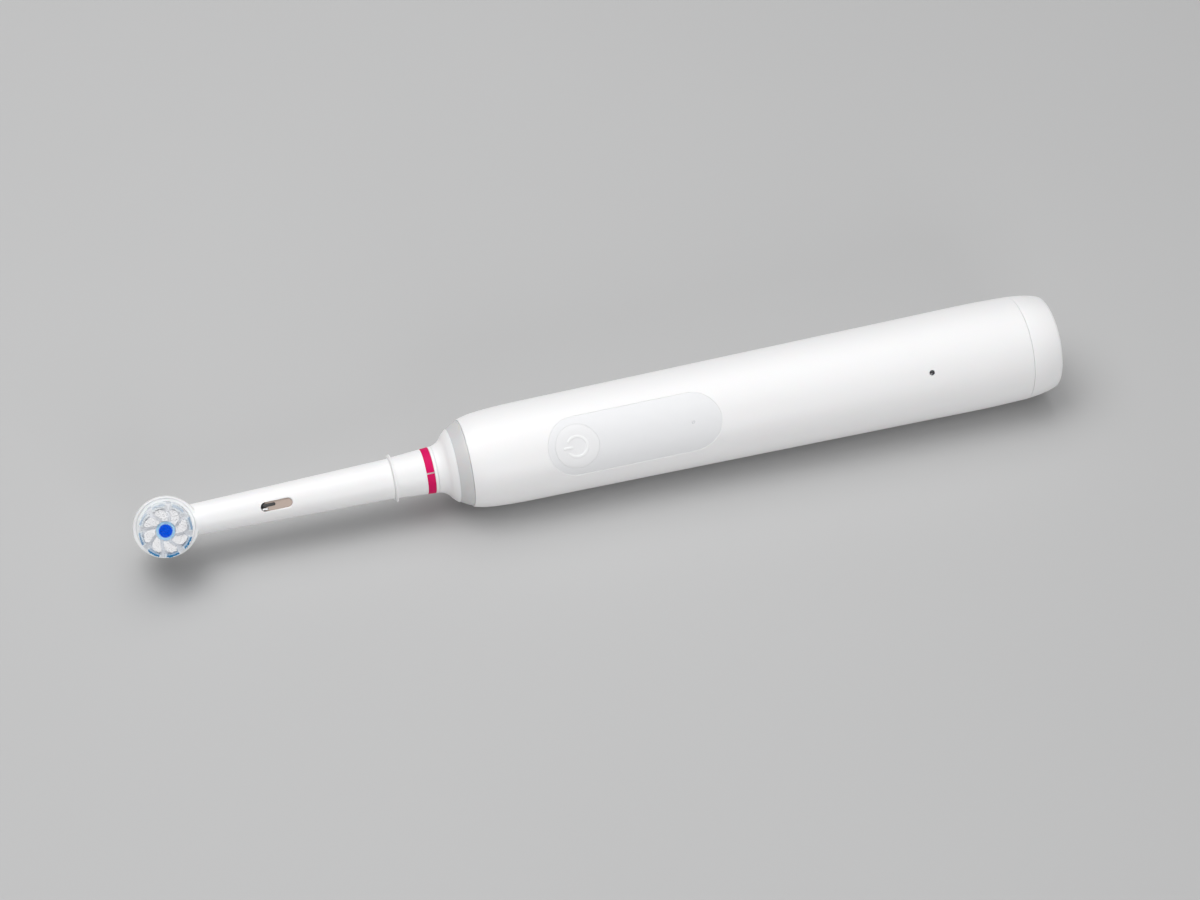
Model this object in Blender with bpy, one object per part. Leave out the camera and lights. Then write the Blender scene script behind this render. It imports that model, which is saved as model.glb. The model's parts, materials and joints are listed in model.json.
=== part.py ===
"""Electric toothbrush with a round rocking brush head, lying on its side as it is put down on a table.

Sizes are in metres. A station is a distance from the base face, measured along the handle towards the
brush head. In the brush's own frame +X points to the base, +Z is the front with the button and the
bristles, and the base face is at x = 0. An empty carries the whole brush into its lying place.
"""

import math

import bmesh
import bpy
import mathutils
from mathutils.geometry import delaunay_2d_cdt

# Gaps and cuts
CLEARANCE = 0.0003
OVERRUN = 0.0010
SHARP_ANGLE = math.radians(35)

# How the brush lies: turned about its own length so that the front looks half sideways
LYING_ROLL = math.radians(50)

# Counts of flat sides
BODY_SIDES = 36
SMALL_SIDES = 20
PIN_SIDES = 10
SLICE_SIDES = 24
ROUND_END_STEPS = 8
SLOT_END_STEPS = 6
MAGNET_STEPS = 8
SEAL_SIDES = 6

# Outside of the handle
HANDLE_LENGTH = 0.1616
HANDLE_WALL = 0.0015
BASE_FACE_RADIUS = 0.0105
BASE_EDGE_LENGTH = 0.0050
BASE_EDGE_RADIUS = 0.0130
SEAM_STATION = 0.0091
SEAM_RADIUS = 0.01345
REAR_STATION = 0.0200
REAR_RADIUS = 0.01365
FRONT_RADIUS = 0.01245
SHOULDER_LENGTH = 0.0130
BASE_EDGE_STEPS = 4
SHOULDER_SHARES = ((0.30, 0.10), (0.55, 0.24), (0.72, 0.40), (0.87, 0.66))

# Light ring and nose collar
RING_WIDTH = 0.0030
RING_REAR_RADIUS = 0.01103
RING_FRONT_RADIUS = 0.0094
COLLAR_LENGTH = 0.00465
COLLAR_END_RADIUS = 0.00585
COLLAR_SHARES = ((0.26, 0.64), (0.46, 0.33), (0.62, 0.18), (0.80, 0.07))
NOSE_SKIRT_RADIUS = 0.0076
NOSE_SKIRT_LENGTH = 0.0055
NOSE_SEAT_LENGTH = 0.0032
SPIGOT_RADIUS = 0.0042
SPIGOT_LENGTH = 0.0094
SPIGOT_TAPER = 0.0002
SEAL_LENGTH = 0.0028

# Base cap, charging socket and coil
SOCKET_RADIUS = 0.0036
SOCKET_DEPTH = 0.0120
SOCKET_WALL = 0.0012
CAP_FLOOR = 0.0016
CAP_SKIRT_LENGTH = 0.0042
CAP_SKIRT_WALL = 0.0012
CAP_RING_RADIUS = 0.00045
BOBBIN_WALL = 0.0006
BOBBIN_LENGTH = 0.0092
COIL_DEPTH = 0.0016

# Front panel, button, rear grip and lenses
PANEL_SETBACK = 0.01915
PANEL_LENGTH = 0.0443
PANEL_WIDTH = 0.0147
PANEL_RECESS = 0.00015
PANEL_STEPS = 16
BUTTON_RADIUS = 0.0055
BUTTON_TRAVEL = 0.0005
BUTTON_STEM_RADIUS = 0.0016
SYMBOL_RADIUS = 0.0026
SYMBOL_LINE = 0.00055
SYMBOL_BAR_LENGTH = 0.0024
SYMBOL_GAP_ANGLE = math.radians(76)
SYMBOL_HEIGHT = 0.00015
GRIP_SETBACK = 0.0250
GRIP_LENGTH = 0.0720
GRIP_WIDTH = 0.0120
GRIP_RIB_PITCH = 0.0045
GRIP_RIB_HEIGHT = 0.0003
GRIP_STEPS = 8
GRIP_RIB_SHARES = ((0.25, 0.0), (0.38, 1.0), (0.62, 1.0), (0.75, 0.0))
CHARGE_LENS_STATION = 0.0354
CHARGE_LENS_RADIUS = 0.0007
PANEL_LENS_RADIUS = 0.0004

# Battery and its tabs
BATTERY_RADIUS = 0.0070
BATTERY_LENGTH = 0.0490
BATTERY_NUB_RADIUS = 0.0027
BATTERY_NUB_HEIGHT = 0.0009
TAB_THICKNESS = 0.0003
TAB_WIDTH = 0.0050

# Chassis
CHASSIS_WALL = 0.0010
BULKHEAD_THICKNESS = 0.0014
MOTOR_PLATE_THICKNESS = 0.0020
BEARING_WALL_THICKNESS = 0.0036
CHASSIS_HALF_ANGLE = math.radians(85)
CHASSIS_STEPS = 12

# Circuit board and what stands on it
BOARD_HEIGHT = 0.0075
BOARD_THICKNESS = 0.0008
BOARD_WIDTH = 0.0120
BOARD_REAR_STATION = 0.0300
BOARD_FRONT_SETBACK = 0.0110
SWITCH_WIDTH = 0.0060
SWITCH_HEIGHT = 0.0011
PLUNGER_RADIUS = 0.0014
LED_LENGTH = 0.0016
LED_WIDTH = 0.0012
LED_HEIGHT = 0.0008

# Motor
MOTOR_RADIUS = 0.0090
MOTOR_FLAT_SHARE = 0.8
MOTOR_LENGTH = 0.0280
MOTOR_CAN_WALL = 0.0007
MOTOR_BOSS_RADIUS = 0.0026
MOTOR_CAP_LENGTH = 0.0022
MOTOR_SHAFT_RADIUS = 0.00075
MAGNET_THICKNESS = 0.0024
MAGNET_HALF_ANGLE = math.radians(36)
ARMATURE_RADIUS = 0.0049
ARMATURE_LENGTH = 0.0160
COMMUTATOR_RADIUS = 0.0024
COMMUTATOR_LENGTH = 0.0040
MOTOR_SCREW_RADIUS = 0.0008
MOTOR_SCREW_HEAD_RADIUS = 0.0014
MOTOR_SCREW_HEAD_HEIGHT = 0.0008
MOTOR_SCREW_LENGTH = 0.0030
MOTOR_SCREW_SPACING = 0.0120

# Gear pair and crank
GEAR_MODULE = 0.0005
PINION_TEETH = 8
CRANK_TEETH = 14
GEAR_WIDTH = 0.0040
TOOTH_TIP_SHARE = 0.80
TOOTH_ROOT_SHARE = 1.25
TOOTH_SHAPE_SHARES = ((0.155, "root"), (0.115, "pitch"), (0.055, "tip"))
CRANK_FLANGE_THICKNESS = 0.0012
CRANK_PIN_RADIUS = 0.0007
CRANK_PIN_LENGTH = 0.0012
CRANK_THROW = 0.0025
AXLE_RADIUS = 0.00075

# Drive shaft, rocker and bearings
SHAFT_RADIUS = 0.0016
SHAFT_PROTRUSION = 0.0166
SHAFT_FLAT_LENGTH = 0.0060
SHAFT_FLAT_DEPTH = 0.0005
ROCKER_HUB_RADIUS = 0.0031
ROCKER_LENGTH = 0.0028
ROCKER_WIDTH = 0.0050
ROCKER_TIP_MARGIN = 0.0011
BEARING_WALL = 0.0011
FRONT_BEARING_LENGTH = 0.0080

# Refill: brush tube, its base and the colour ring
REFILL_LENGTH = 0.0753
REFILL_WALL = 0.0013
TUBE_END_RADIUS = 0.0050
TUBE_NECK_RADIUS = 0.0039
TUBE_BORE_RADIUS = 0.0020
SKIRT_LENGTH = 0.0107
SKIRT_END_RADIUS = 0.00585
LIP_RADIUS = 0.00595
LIP_THICKNESS = 0.0006
COLOUR_RING_WIDTH = 0.0026
COLOUR_RING_THICKNESS = 0.0004
COLOUR_RING_SLIT_ANGLE = math.radians(6)
PLUG_LENGTH = 0.0075
SLOT_STATION_FROM_HEAD = 0.0272
SLOT_LENGTH = 0.0078
SLOT_WIDTH = 0.0023

# Brush head
BOWL_RADIUS = 0.0080
BOWL_WIDTH_SHARE = 0.94
BOWL_BACK = 0.0044
BOWL_RIM = 0.0034
BOWL_WALL = 0.00095
BOWL_FLOOR = 0.0012
BOWL_SHARES = ((0.46, -1.0), (0.78, -0.78), (0.94, -0.36), (1.0, 0.2), (1.0, 0.72), (0.965, 1.0))
HEAD_PIN_RADIUS = 0.0006
HEAD_PIN_SEAT = 0.0018
CARRIER_THICKNESS = 0.0020
CARRIER_SKIN = 0.0004

# Coupling bush and crank rod in the refill
COUPLING_RADIUS = 0.0024
COUPLING_FLOOR = 0.0014
COUPLING_GRIP = 0.0030
ROD_RADIUS = 0.00045
ROD_THROW = 0.0015
ROD_BEND_STEPS = 3
RODSLOT_WIDTH = 0.0018

# Bristles: tuft slices, and strands of three sides
SLICE_THICKNESS = 0.0006
STRAND_RADIUS = 0.00017
STRAND_SIDES = 3
STRAND_LENGTH = 0.0070
STRAND_LENGTH_SPREAD = 0.0002
STRAND_LENGTH_STEPS = 5
NET_TOLERANCE = 1e-5
CENTRE_TUFT_RADIUS = 0.0018
CENTRE_TUFT_RINGS = 3
TUFT_COUNT = 8
PETAL_INNER_RADIUS = 0.0025
PETAL_OUTER_RADIUS = 0.0046
PETAL_WIDTH = 0.0017
PETAL_TURN = math.radians(24)
PETAL_ROWS = 5
PETAL_COLUMNS = 4
PETAL_WAIST_SHARE = 0.6
PETAL_SWELL_SHARES = (0.1, 0.85)
RIM_TUFT_RADIUS = 0.0059
RIM_TUFT_DEPTH = 0.0005
RIM_TUFT_ARC = math.radians(27)
RIM_TUFT_START = math.radians(8)
RIM_TUFT_ROWS = 2
RIM_TUFT_COLUMNS = 9
RIM_EDGE = 0.0004

# Colours, as linear red, green and blue, with roughness and metallic
WHITE_GLOSS = ((0.90, 0.90, 0.90), 0.22, 0.0)
WHITE_SATIN = ((0.86, 0.86, 0.86), 0.40, 0.0)
SOFT_GREY = ((0.66, 0.67, 0.69), 0.55, 0.0)
RING_GREY = ((0.50, 0.51, 0.52), 0.30, 0.0)
MAGENTA = ((0.78, 0.00, 0.11), 0.35, 0.0)
BLUE_NYLON = ((0.00, 0.16, 0.80), 0.45, 0.0)
CLEAR_NYLON = ((0.80, 0.86, 0.92), 0.40, 0.0)
STEEL = ((0.55, 0.55, 0.56), 0.28, 1.0)
DARK_STEEL = ((0.16, 0.16, 0.17), 0.35, 1.0)
BRONZE = ((0.55, 0.36, 0.16), 0.40, 1.0)
COPPER = ((0.70, 0.28, 0.12), 0.35, 1.0)
BLACK_RUBBER = ((0.02, 0.02, 0.02), 0.70, 0.0)
BOARD_GREEN = ((0.02, 0.16, 0.07), 0.50, 0.0)
BATTERY_WRAP = ((0.05, 0.22, 0.38), 0.35, 0.0)
CHASSIS_BLUE = ((0.20, 0.30, 0.42), 0.50, 0.0)
GEAR_WHITE = ((0.80, 0.79, 0.74), 0.45, 0.0)
LENS_DARK = ((0.05, 0.05, 0.06), 0.20, 0.0)
FERRITE = ((0.10, 0.10, 0.11), 0.60, 0.0)

# Stations that follow from the sizes above
COLLAR_STATION = HANDLE_LENGTH
RING_FRONT_STATION = COLLAR_STATION - COLLAR_LENGTH
RING_REAR_STATION = RING_FRONT_STATION - RING_WIDTH
SHOULDER_STATION = RING_REAR_STATION - SHOULDER_LENGTH
PANEL_FRONT_STATION = RING_REAR_STATION - PANEL_SETBACK
PANEL_REAR_STATION = PANEL_FRONT_STATION - PANEL_LENGTH
BUTTON_STATION = PANEL_FRONT_STATION - PANEL_WIDTH / 2
PANEL_LENS_STATION = PANEL_REAR_STATION + PANEL_WIDTH / 2
GRIP_FRONT_STATION = RING_REAR_STATION - GRIP_SETBACK
CAP_SKIRT_STATION = SEAM_STATION + CAP_SKIRT_LENGTH
CHASSIS_REAR_STATION = max(SOCKET_DEPTH + SOCKET_WALL, CAP_SKIRT_STATION) + CLEARANCE
TAB_REAR_STATION = CHASSIS_REAR_STATION + BULKHEAD_THICKNESS + CLEARANCE
BATTERY_STATION = TAB_REAR_STATION + TAB_THICKNESS + CLEARANCE
BATTERY_TOP_STATION = BATTERY_STATION + BATTERY_LENGTH
TAB_FRONT_STATION = BATTERY_TOP_STATION + BATTERY_NUB_HEIGHT + CLEARANCE
BULKHEAD_STATION = TAB_FRONT_STATION + TAB_THICKNESS + CLEARANCE
MOTOR_CAP_STATION = BULKHEAD_STATION + BULKHEAD_THICKNESS + CLEARANCE
MOTOR_STATION = MOTOR_CAP_STATION + MOTOR_CAP_LENGTH
MOTOR_FRONT_STATION = MOTOR_STATION + MOTOR_LENGTH
MOTOR_PLATE_STATION = MOTOR_FRONT_STATION + CLEARANCE
GEAR_STATION = MOTOR_PLATE_STATION + MOTOR_PLATE_THICKNESS + CLEARANCE + MOTOR_SCREW_HEAD_HEIGHT
CRANK_FLANGE_STATION = GEAR_STATION + GEAR_WIDTH
CRANK_PIN_END_STATION = CRANK_FLANGE_STATION + CRANK_FLANGE_THICKNESS + CRANK_PIN_LENGTH
ROCKER_STATION = CRANK_PIN_END_STATION + CLEARANCE
ROCKER_END_STATION = ROCKER_STATION + ROCKER_LENGTH
BEARING_WALL_STATION = ROCKER_END_STATION + CLEARANCE
CHASSIS_FRONT_STATION = BEARING_WALL_STATION + BEARING_WALL_THICKNESS
BOARD_FRONT_STATION = RING_REAR_STATION - BOARD_FRONT_SETBACK
BOARD_TOP = BOARD_HEIGHT + BOARD_THICKNESS
GEAR_DISTANCE = GEAR_MODULE * (PINION_TEETH + CRANK_TEETH) / 2
NOSE_REAR_STATION = RING_REAR_STATION - NOSE_SKIRT_LENGTH
NOSE_TIP_STATION = COLLAR_STATION + SPIGOT_LENGTH
SEAL_STATION = NOSE_TIP_STATION - SEAL_LENGTH
SHAFT_END_STATION = COLLAR_STATION + SHAFT_PROTRUSION
SKIRT_STATION = COLLAR_STATION + CLEARANCE
LIP_STATION = SKIRT_STATION + SKIRT_LENGTH
TUBE_STATION = LIP_STATION + CLEARANCE
HEAD_STATION = COLLAR_STATION + REFILL_LENGTH - BOWL_RADIUS
COUPLING_STATION = NOSE_TIP_STATION + CLEARANCE + CLEARANCE
COUPLING_END_STATION = SHAFT_END_STATION + CLEARANCE + COUPLING_FLOOR + COUPLING_GRIP
PLUG_END_STATION = TUBE_STATION + PLUG_LENGTH
PLUG_RADIUS = TUBE_END_RADIUS - REFILL_WALL
SLOT_STATION = HEAD_STATION - SLOT_STATION_FROM_HEAD
ROD_TIP_STATION = HEAD_STATION - ROD_THROW
CARRIER_BOTTOM = ROD_RADIUS + CLEARANCE
CARRIER_TOP = CARRIER_BOTTOM + CARRIER_THICKNESS
CARRIER_RADIUS = BOWL_RADIUS - BOWL_WALL - CLEARANCE
SLICE_BOTTOM = CARRIER_TOP + CLEARANCE
SLICE_TOP = SLICE_BOTTOM + SLICE_THICKNESS
SHAFT_BORE_RADIUS = SHAFT_RADIUS + CLEARANCE
BEARING_RADIUS = SHAFT_BORE_RADIUS + BEARING_WALL


def handle_outline():
    """Stations and radii of the outside of the handle, from the seam to the light ring."""
    drop = FRONT_RADIUS - RING_REAR_RADIUS
    shoulder = [
        (SHOULDER_STATION + along * SHOULDER_LENGTH, FRONT_RADIUS - down * drop)
        for along, down in SHOULDER_SHARES
    ]
    return [
        (SEAM_STATION, SEAM_RADIUS),
        (REAR_STATION, REAR_RADIUS),
        (SHOULDER_STATION, FRONT_RADIUS),
        *shoulder,
        (RING_REAR_STATION, RING_REAR_RADIUS),
    ]


def handle_radius(station):
    """Outside radius of the handle at one station, between the points of its outline."""
    points = handle_outline()
    if station <= points[0][0]:
        return points[0][1]
    for (near, near_radius), (far, far_radius) in zip(points, points[1:]):
        if station <= far:
            return near_radius + (far_radius - near_radius) * (station - near) / (far - near)
    return points[-1][1]


def handle_bore(station):
    """Inside radius of the handle's wall at one station."""
    return handle_radius(station) - HANDLE_WALL


def between(first, last, share):
    """The value at a share of the way from first to last."""
    return first + (last - first) * share


def make_finish(name, finish):
    """Principled material from a colour, a roughness and a metallic value."""
    colour, roughness, metallic = finish
    material = bpy.data.materials.new(name)
    material.use_nodes = True
    shader = material.node_tree.nodes["Principled BSDF"]
    shader.inputs["Base Color"].default_value = (*colour, 1)
    shader.inputs["Roughness"].default_value = roughness
    shader.inputs["Metallic"].default_value = metallic
    return material


def place(piece, finish, location=(0, 0, 0)):
    """Hang a piece in the carrying empty at its location, with its own material."""
    bpy.context.collection.objects.link(piece)
    piece.parent = CARRIER
    piece.location = location
    if finish is None:
        piece.hide_render = True
        piece.display_type = "WIRE"
    else:
        piece.data.materials.append(make_finish(piece.name, finish))
    return piece


def closed_mesh(name, points, faces):
    """Mesh object from points and faces, with its faces turned outwards and its round parts smooth."""
    mesh = bpy.data.meshes.new(name)
    build = bmesh.new()
    corners = [build.verts.new(point) for point in points]
    for face in faces:
        build.faces.new([corners[index] for index in face])
    bmesh.ops.recalc_face_normals(build, faces=build.faces)
    build.to_mesh(mesh)
    build.free()
    mesh.shade_smooth()
    mesh.set_sharp_from_angle(angle=SHARP_ANGLE)
    return bpy.data.objects.new(name, mesh)


def on_handle_axis(station, radius, angle, flat_share):
    """Point at a station, turned by an angle from the front, with flattened front and back."""
    height = max(-flat_share * radius, min(flat_share * radius, radius * math.cos(angle)))
    return (-station, radius * math.sin(angle), height)


def on_front_axis(height, radius, angle, flat_share):
    """Point at a height in front of the axis, turned by an angle about the front direction."""
    return (radius * math.cos(angle), flat_share * radius * math.sin(angle), height)


def turned(name, outline, sides, point_at=on_handle_axis, span=None, flat_share=1.0):
    """Closed outline of (place along the axis, radius) turned about an axis, whole or over a span."""
    if span is None:
        angles = [(side + 0.5) * math.tau / sides for side in range(sides)]
    else:
        angles = [between(span[0], span[1], side / sides) for side in range(sides + 1)]
    points, rings = [], []
    for place_along, radius in outline:
        if radius == 0:
            rings.append([len(points)] * len(angles))
            points.append(point_at(place_along, radius, 0, flat_share))
        else:
            rings.append([len(points) + index for index in range(len(angles))])
            points.extend(point_at(place_along, radius, angle, flat_share) for angle in angles)
    faces = []
    around = len(angles) if span is None else len(angles) - 1
    for ring, following in zip(rings, rings[1:] + rings[:1]):
        for index in range(around):
            after = (index + 1) % len(angles)
            corners = [ring[index], ring[after], following[after], following[index]]
            face = list(dict.fromkeys(corners))
            if len(face) > 2:
                faces.append(face)
    if span is not None:
        faces.append([ring[0] for ring in rings])
        faces.append([ring[-1] for ring in rings])
    return closed_mesh(name, points, faces)


def prism(name, outline, low, high, stand="front"):
    """Flat outline pushed from low to high, along the front direction or along the handle."""
    count = len(outline)
    if stand == "front":
        points = [(x, y, height) for height in (low, high) for x, y in outline]
    else:
        points = [(-station, y, z) for station in (low, high) for y, z in outline]
    faces = [list(range(count)), list(range(count, 2 * count))]
    for index in range(count):
        after = (index + 1) % count
        faces.append([index, after, count + after, count + index])
    return closed_mesh(name, points, faces)


def rectangle(x_low, x_high, y_low, y_high):
    """Corners of a rectangle."""
    return [(x_low, y_low), (x_high, y_low), (x_high, y_high), (x_low, y_high)]


def circle(radius, sides, centre=(0, 0)):
    """Corners of a round outline."""
    return [
        (
            centre[0] + radius * math.cos((side + 0.5) * math.tau / sides),
            centre[1] + radius * math.sin((side + 0.5) * math.tau / sides),
        )
        for side in range(sides)
    ]


def stadium(length, width, steps=ROUND_END_STEPS):
    """Corners of a long round-ended outline about its centre, with its length along x."""
    radius = width / 2
    reach = length / 2 - radius
    points = []
    for end, start in ((reach, -math.pi / 2), (-reach, math.pi / 2)):
        for step in range(steps + 1):
            angle = start + math.pi * step / steps
            points.append((end + radius * math.cos(angle), radius * math.sin(angle)))
    return points


def combine(piece, tool, operation):
    """Cut a piece with a tool, join the tool to it, or keep what both share."""
    modifier = piece.modifiers.new(tool.name, "BOOLEAN")
    modifier.operation = operation
    modifier.object = tool
    modifier.solver = "EXACT"
    return piece


def cut(piece, tool, location=(0, 0, 0)):
    """Take a tool's shape out of a piece."""
    return combine(piece, place(tool, None, location), "DIFFERENCE")


def join(piece, tool, location=(0, 0, 0)):
    """Add a tool's shape to a piece as one body."""
    return combine(piece, place(tool, None, location), "UNION")


def wall_section(name, rear, front, half_angle, steps, top=0.0, sink=0.0, back=False):
    """Curved strip of the handle's wall about its front or back line, thinned by top and sink."""
    stations = [rear, *(s for s, _ in handle_outline() if rear < s < front), front]
    outer = [(station, handle_radius(station) - top) for station in stations]
    inner = [(station, handle_bore(station) + sink) for station in reversed(stations)]
    middle = math.pi if back else 0.0
    span = (middle - half_angle, middle + half_angle)
    return turned(name, outer + inner, steps, span=span)


def tube_outer_radius(station):
    """Outside radius of the brush tube, which tapers evenly from its base to the neck."""
    share = (station - TUBE_STATION) / (HEAD_STATION - BOWL_RADIUS - TUBE_STATION)
    return between(TUBE_END_RADIUS, TUBE_NECK_RADIUS, min(share, 1.0))


def build_brush_tube():
    """White tapered tube with the head's bowl, the see-through slot and the bores for rod and plug."""
    rim = BOWL_RIM
    bowl = [(-BOWL_BACK, 0)]
    for share, height in BOWL_SHARES:
        bowl.append((height * (BOWL_BACK if height < 0 else rim), share * BOWL_RADIUS))
    bowl.append((rim, 0))
    tube = turned(
        "brush_tube",
        [
            (TUBE_STATION, 0),
            (TUBE_STATION, TUBE_END_RADIUS),
            (HEAD_STATION - BOWL_RADIUS, TUBE_NECK_RADIUS),
            (HEAD_STATION, TUBE_NECK_RADIUS),
            (HEAD_STATION, 0),
        ],
        SMALL_SIDES,
    )
    place(tube, WHITE_GLOSS)
    shell = turned("bowl_shape", bowl, BODY_SIDES, on_front_axis, flat_share=BOWL_WIDTH_SHARE)
    join(tube, shell, (-HEAD_STATION, 0, 0))

    plug_bore = PLUG_RADIUS + CLEARANCE
    coupling_bore = COUPLING_RADIUS + CLEARANCE
    bore = turned(
        "tube_bore_cut",
        [
            (TUBE_STATION - OVERRUN, 0),
            (TUBE_STATION - OVERRUN, plug_bore),
            (PLUG_END_STATION + CLEARANCE, plug_bore),
            (PLUG_END_STATION + CLEARANCE, coupling_bore),
            (COUPLING_END_STATION + CLEARANCE, coupling_bore),
            (COUPLING_END_STATION + COUPLING_GRIP, TUBE_BORE_RADIUS),
            (SLOT_STATION + SLOT_LENGTH, TUBE_BORE_RADIUS),
            (HEAD_STATION - BOWL_RADIUS, BOWL_FLOOR),
            (HEAD_STATION - ROD_THROW, BOWL_FLOOR),
            (HEAD_STATION - ROD_THROW, 0),
        ],
        SMALL_SIDES,
    )
    cut(tube, bore)
    cavity = turned(
        "bowl_cavity_cut",
        [
            (-BOWL_FLOOR, 0),
            (-BOWL_FLOOR, BOWL_RADIUS - BOWL_WALL),
            (rim + OVERRUN, BOWL_RADIUS - BOWL_WALL),
            (rim + OVERRUN, 0),
        ],
        BODY_SIDES,
        on_front_axis,
    )
    cut(tube, cavity, (-HEAD_STATION, 0, 0))
    pin_seat = -BOWL_FLOOR - HEAD_PIN_SEAT - CLEARANCE
    pin_hole = HEAD_PIN_RADIUS + CLEARANCE
    seat = turned(
        "pin_hole_cut", [(pin_seat, 0), (pin_seat, pin_hole), (0, pin_hole), (0, 0)], PIN_SIDES, on_front_axis
    )
    cut(tube, seat, (-HEAD_STATION, 0, 0))
    slot = prism("see_through_slot_cut", stadium(SLOT_LENGTH, SLOT_WIDTH, SLOT_END_STEPS), 0, TUBE_END_RADIUS)
    cut(tube, slot, (-SLOT_STATION, 0, 0))


def skirt_radius(station):
    """Outside radius of the refill's flared base."""
    return between(SKIRT_END_RADIUS, TUBE_END_RADIUS, (station - SKIRT_STATION) / SKIRT_LENGTH)


def build_refill_base():
    """Flared insert that grips the nose, with the thin lip and the groove of the colour ring."""
    groove_end = SKIRT_STATION + COLOUR_RING_WIDTH + CLEARANCE
    groove = SKIRT_END_RADIUS - COLOUR_RING_THICKNESS - CLEARANCE
    grip = SPIGOT_RADIUS + CLEARANCE
    stop = NOSE_TIP_STATION + CLEARANCE
    bore = COUPLING_RADIUS + CLEARANCE
    outline = [
        (SKIRT_STATION, grip),
        (SKIRT_STATION, groove),
        (groove_end, groove),
        (groove_end, skirt_radius(groove_end)),
        (LIP_STATION - LIP_THICKNESS, TUBE_END_RADIUS),
        (LIP_STATION - LIP_THICKNESS, LIP_RADIUS),
        (LIP_STATION, LIP_RADIUS),
        (LIP_STATION, PLUG_RADIUS),
        (PLUG_END_STATION, PLUG_RADIUS),
        (PLUG_END_STATION, bore),
        (stop, bore),
        (stop, grip),
    ]
    place(turned("refill_base", outline, SMALL_SIDES), WHITE_GLOSS)


def build_colour_ring():
    """Split magenta ring that tells one refill from another, with its slit on the front line."""
    end = SKIRT_STATION + COLOUR_RING_WIDTH
    outline = [
        (SKIRT_STATION, SKIRT_END_RADIUS - COLOUR_RING_THICKNESS),
        (SKIRT_STATION, SKIRT_END_RADIUS),
        (end, skirt_radius(end)),
        (end, SKIRT_END_RADIUS - COLOUR_RING_THICKNESS),
    ]
    half_slit = COLOUR_RING_SLIT_ANGLE / 2
    ring = turned("colour_ring", outline, SMALL_SIDES, span=(half_slit, math.tau - half_slit))
    place(ring, MAGENTA)


def build_head_pin():
    """Steel pin in the bowl's floor, on which the bristle carrier rocks."""
    low = -BOWL_FLOOR - HEAD_PIN_SEAT
    high = CARRIER_TOP - CARRIER_SKIN - CLEARANCE
    outline = [(low, 0), (low, HEAD_PIN_RADIUS), (high, HEAD_PIN_RADIUS), (high, 0)]
    pin = turned("head_pin", outline, PIN_SIDES, on_front_axis)
    place(pin, STEEL, (-HEAD_STATION, 0, 0))


def build_bristle_carrier():
    """Round carrier of the tufts, with a blind bore for its pin and a slot for the rod's tip below."""
    outline = [
        (CARRIER_BOTTOM, 0),
        (CARRIER_BOTTOM, CARRIER_RADIUS),
        (CARRIER_TOP, CARRIER_RADIUS),
        (CARRIER_TOP, 0),
    ]
    carrier = turned("bristle_carrier", outline, BODY_SIDES, on_front_axis)
    place(carrier, WHITE_SATIN, (-HEAD_STATION, 0, 0))
    depth = CARRIER_TOP - CARRIER_SKIN
    bore_radius = HEAD_PIN_RADIUS + CLEARANCE
    pin_space = [(0, 0), (0, bore_radius), (depth, bore_radius), (depth, 0)]
    bore = turned("carrier_bore_cut", pin_space, PIN_SIDES, on_front_axis)
    cut(carrier, bore, (-HEAD_STATION, 0, 0))
    reach = ROD_THROW + ROD_RADIUS + CLEARANCE + CLEARANCE
    room = rectangle(0, reach, -RODSLOT_WIDTH / 2, RODSLOT_WIDTH / 2)
    slot = prism("carrier_slot_cut", room, 0, depth - CLEARANCE)
    cut(carrier, slot, (-HEAD_STATION, 0, 0))


def build_rod_and_coupling():
    """Wire rod with its upturned tip, and the bush that joins it to the drive shaft."""
    curve = bpy.data.curves.new("crank_rod", "CURVE")
    curve.dimensions = "3D"
    curve.bevel_depth = ROD_RADIUS
    curve.bevel_resolution = 2
    curve.use_fill_caps = True
    spline = curve.splines.new("POLY")
    start = COUPLING_END_STATION - COUPLING_GRIP + CLEARANCE
    bend = 2 * ROD_RADIUS
    tip = depth_of_rod_slot() - CLEARANCE
    route = [(start, 0), (ROD_TIP_STATION - bend, 0)]
    for step in range(1, ROD_BEND_STEPS + 1):
        angle = step / ROD_BEND_STEPS * math.pi / 2
        route.append((ROD_TIP_STATION - bend + bend * math.sin(angle), bend - bend * math.cos(angle)))
    route.append((ROD_TIP_STATION, tip))
    spline.points.add(len(route) - 1)
    for point, (station, height) in zip(spline.points, route):
        point.co = (-station, 0, height, 1)
    place(bpy.data.objects.new("crank_rod", curve), STEEL)

    floor = SHAFT_END_STATION + CLEARANCE
    rod_hole = ROD_RADIUS + CLEARANCE
    outline = [
        (COUPLING_STATION, SHAFT_BORE_RADIUS),
        (COUPLING_STATION, COUPLING_RADIUS),
        (COUPLING_END_STATION, COUPLING_RADIUS),
        (COUPLING_END_STATION, rod_hole),
        (floor + COUPLING_FLOOR, rod_hole),
        (floor + COUPLING_FLOOR, 0),
        (floor, 0),
        (floor, SHAFT_BORE_RADIUS),
    ]
    place(turned("rod_coupling", outline, SMALL_SIDES), GEAR_WHITE)


def depth_of_rod_slot():
    """Height of the top of the carrier's slot, above the handle's axis."""
    return CARRIER_TOP - CARRIER_SKIN - CLEARANCE


def centre_tuft_places():
    """Strands of the centre tuft on whole rings about one in the middle."""
    places = [(0.0, 0.0)]
    spacing = (CENTRE_TUFT_RADIUS - STRAND_RADIUS) / CENTRE_TUFT_RINGS
    for ring in range(1, CENTRE_TUFT_RINGS + 1):
        for index in range(6 * ring):
            angle = math.tau * index / (6 * ring)
            places.append((ring * spacing * math.cos(angle), ring * spacing * math.sin(angle)))
    return places


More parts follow.
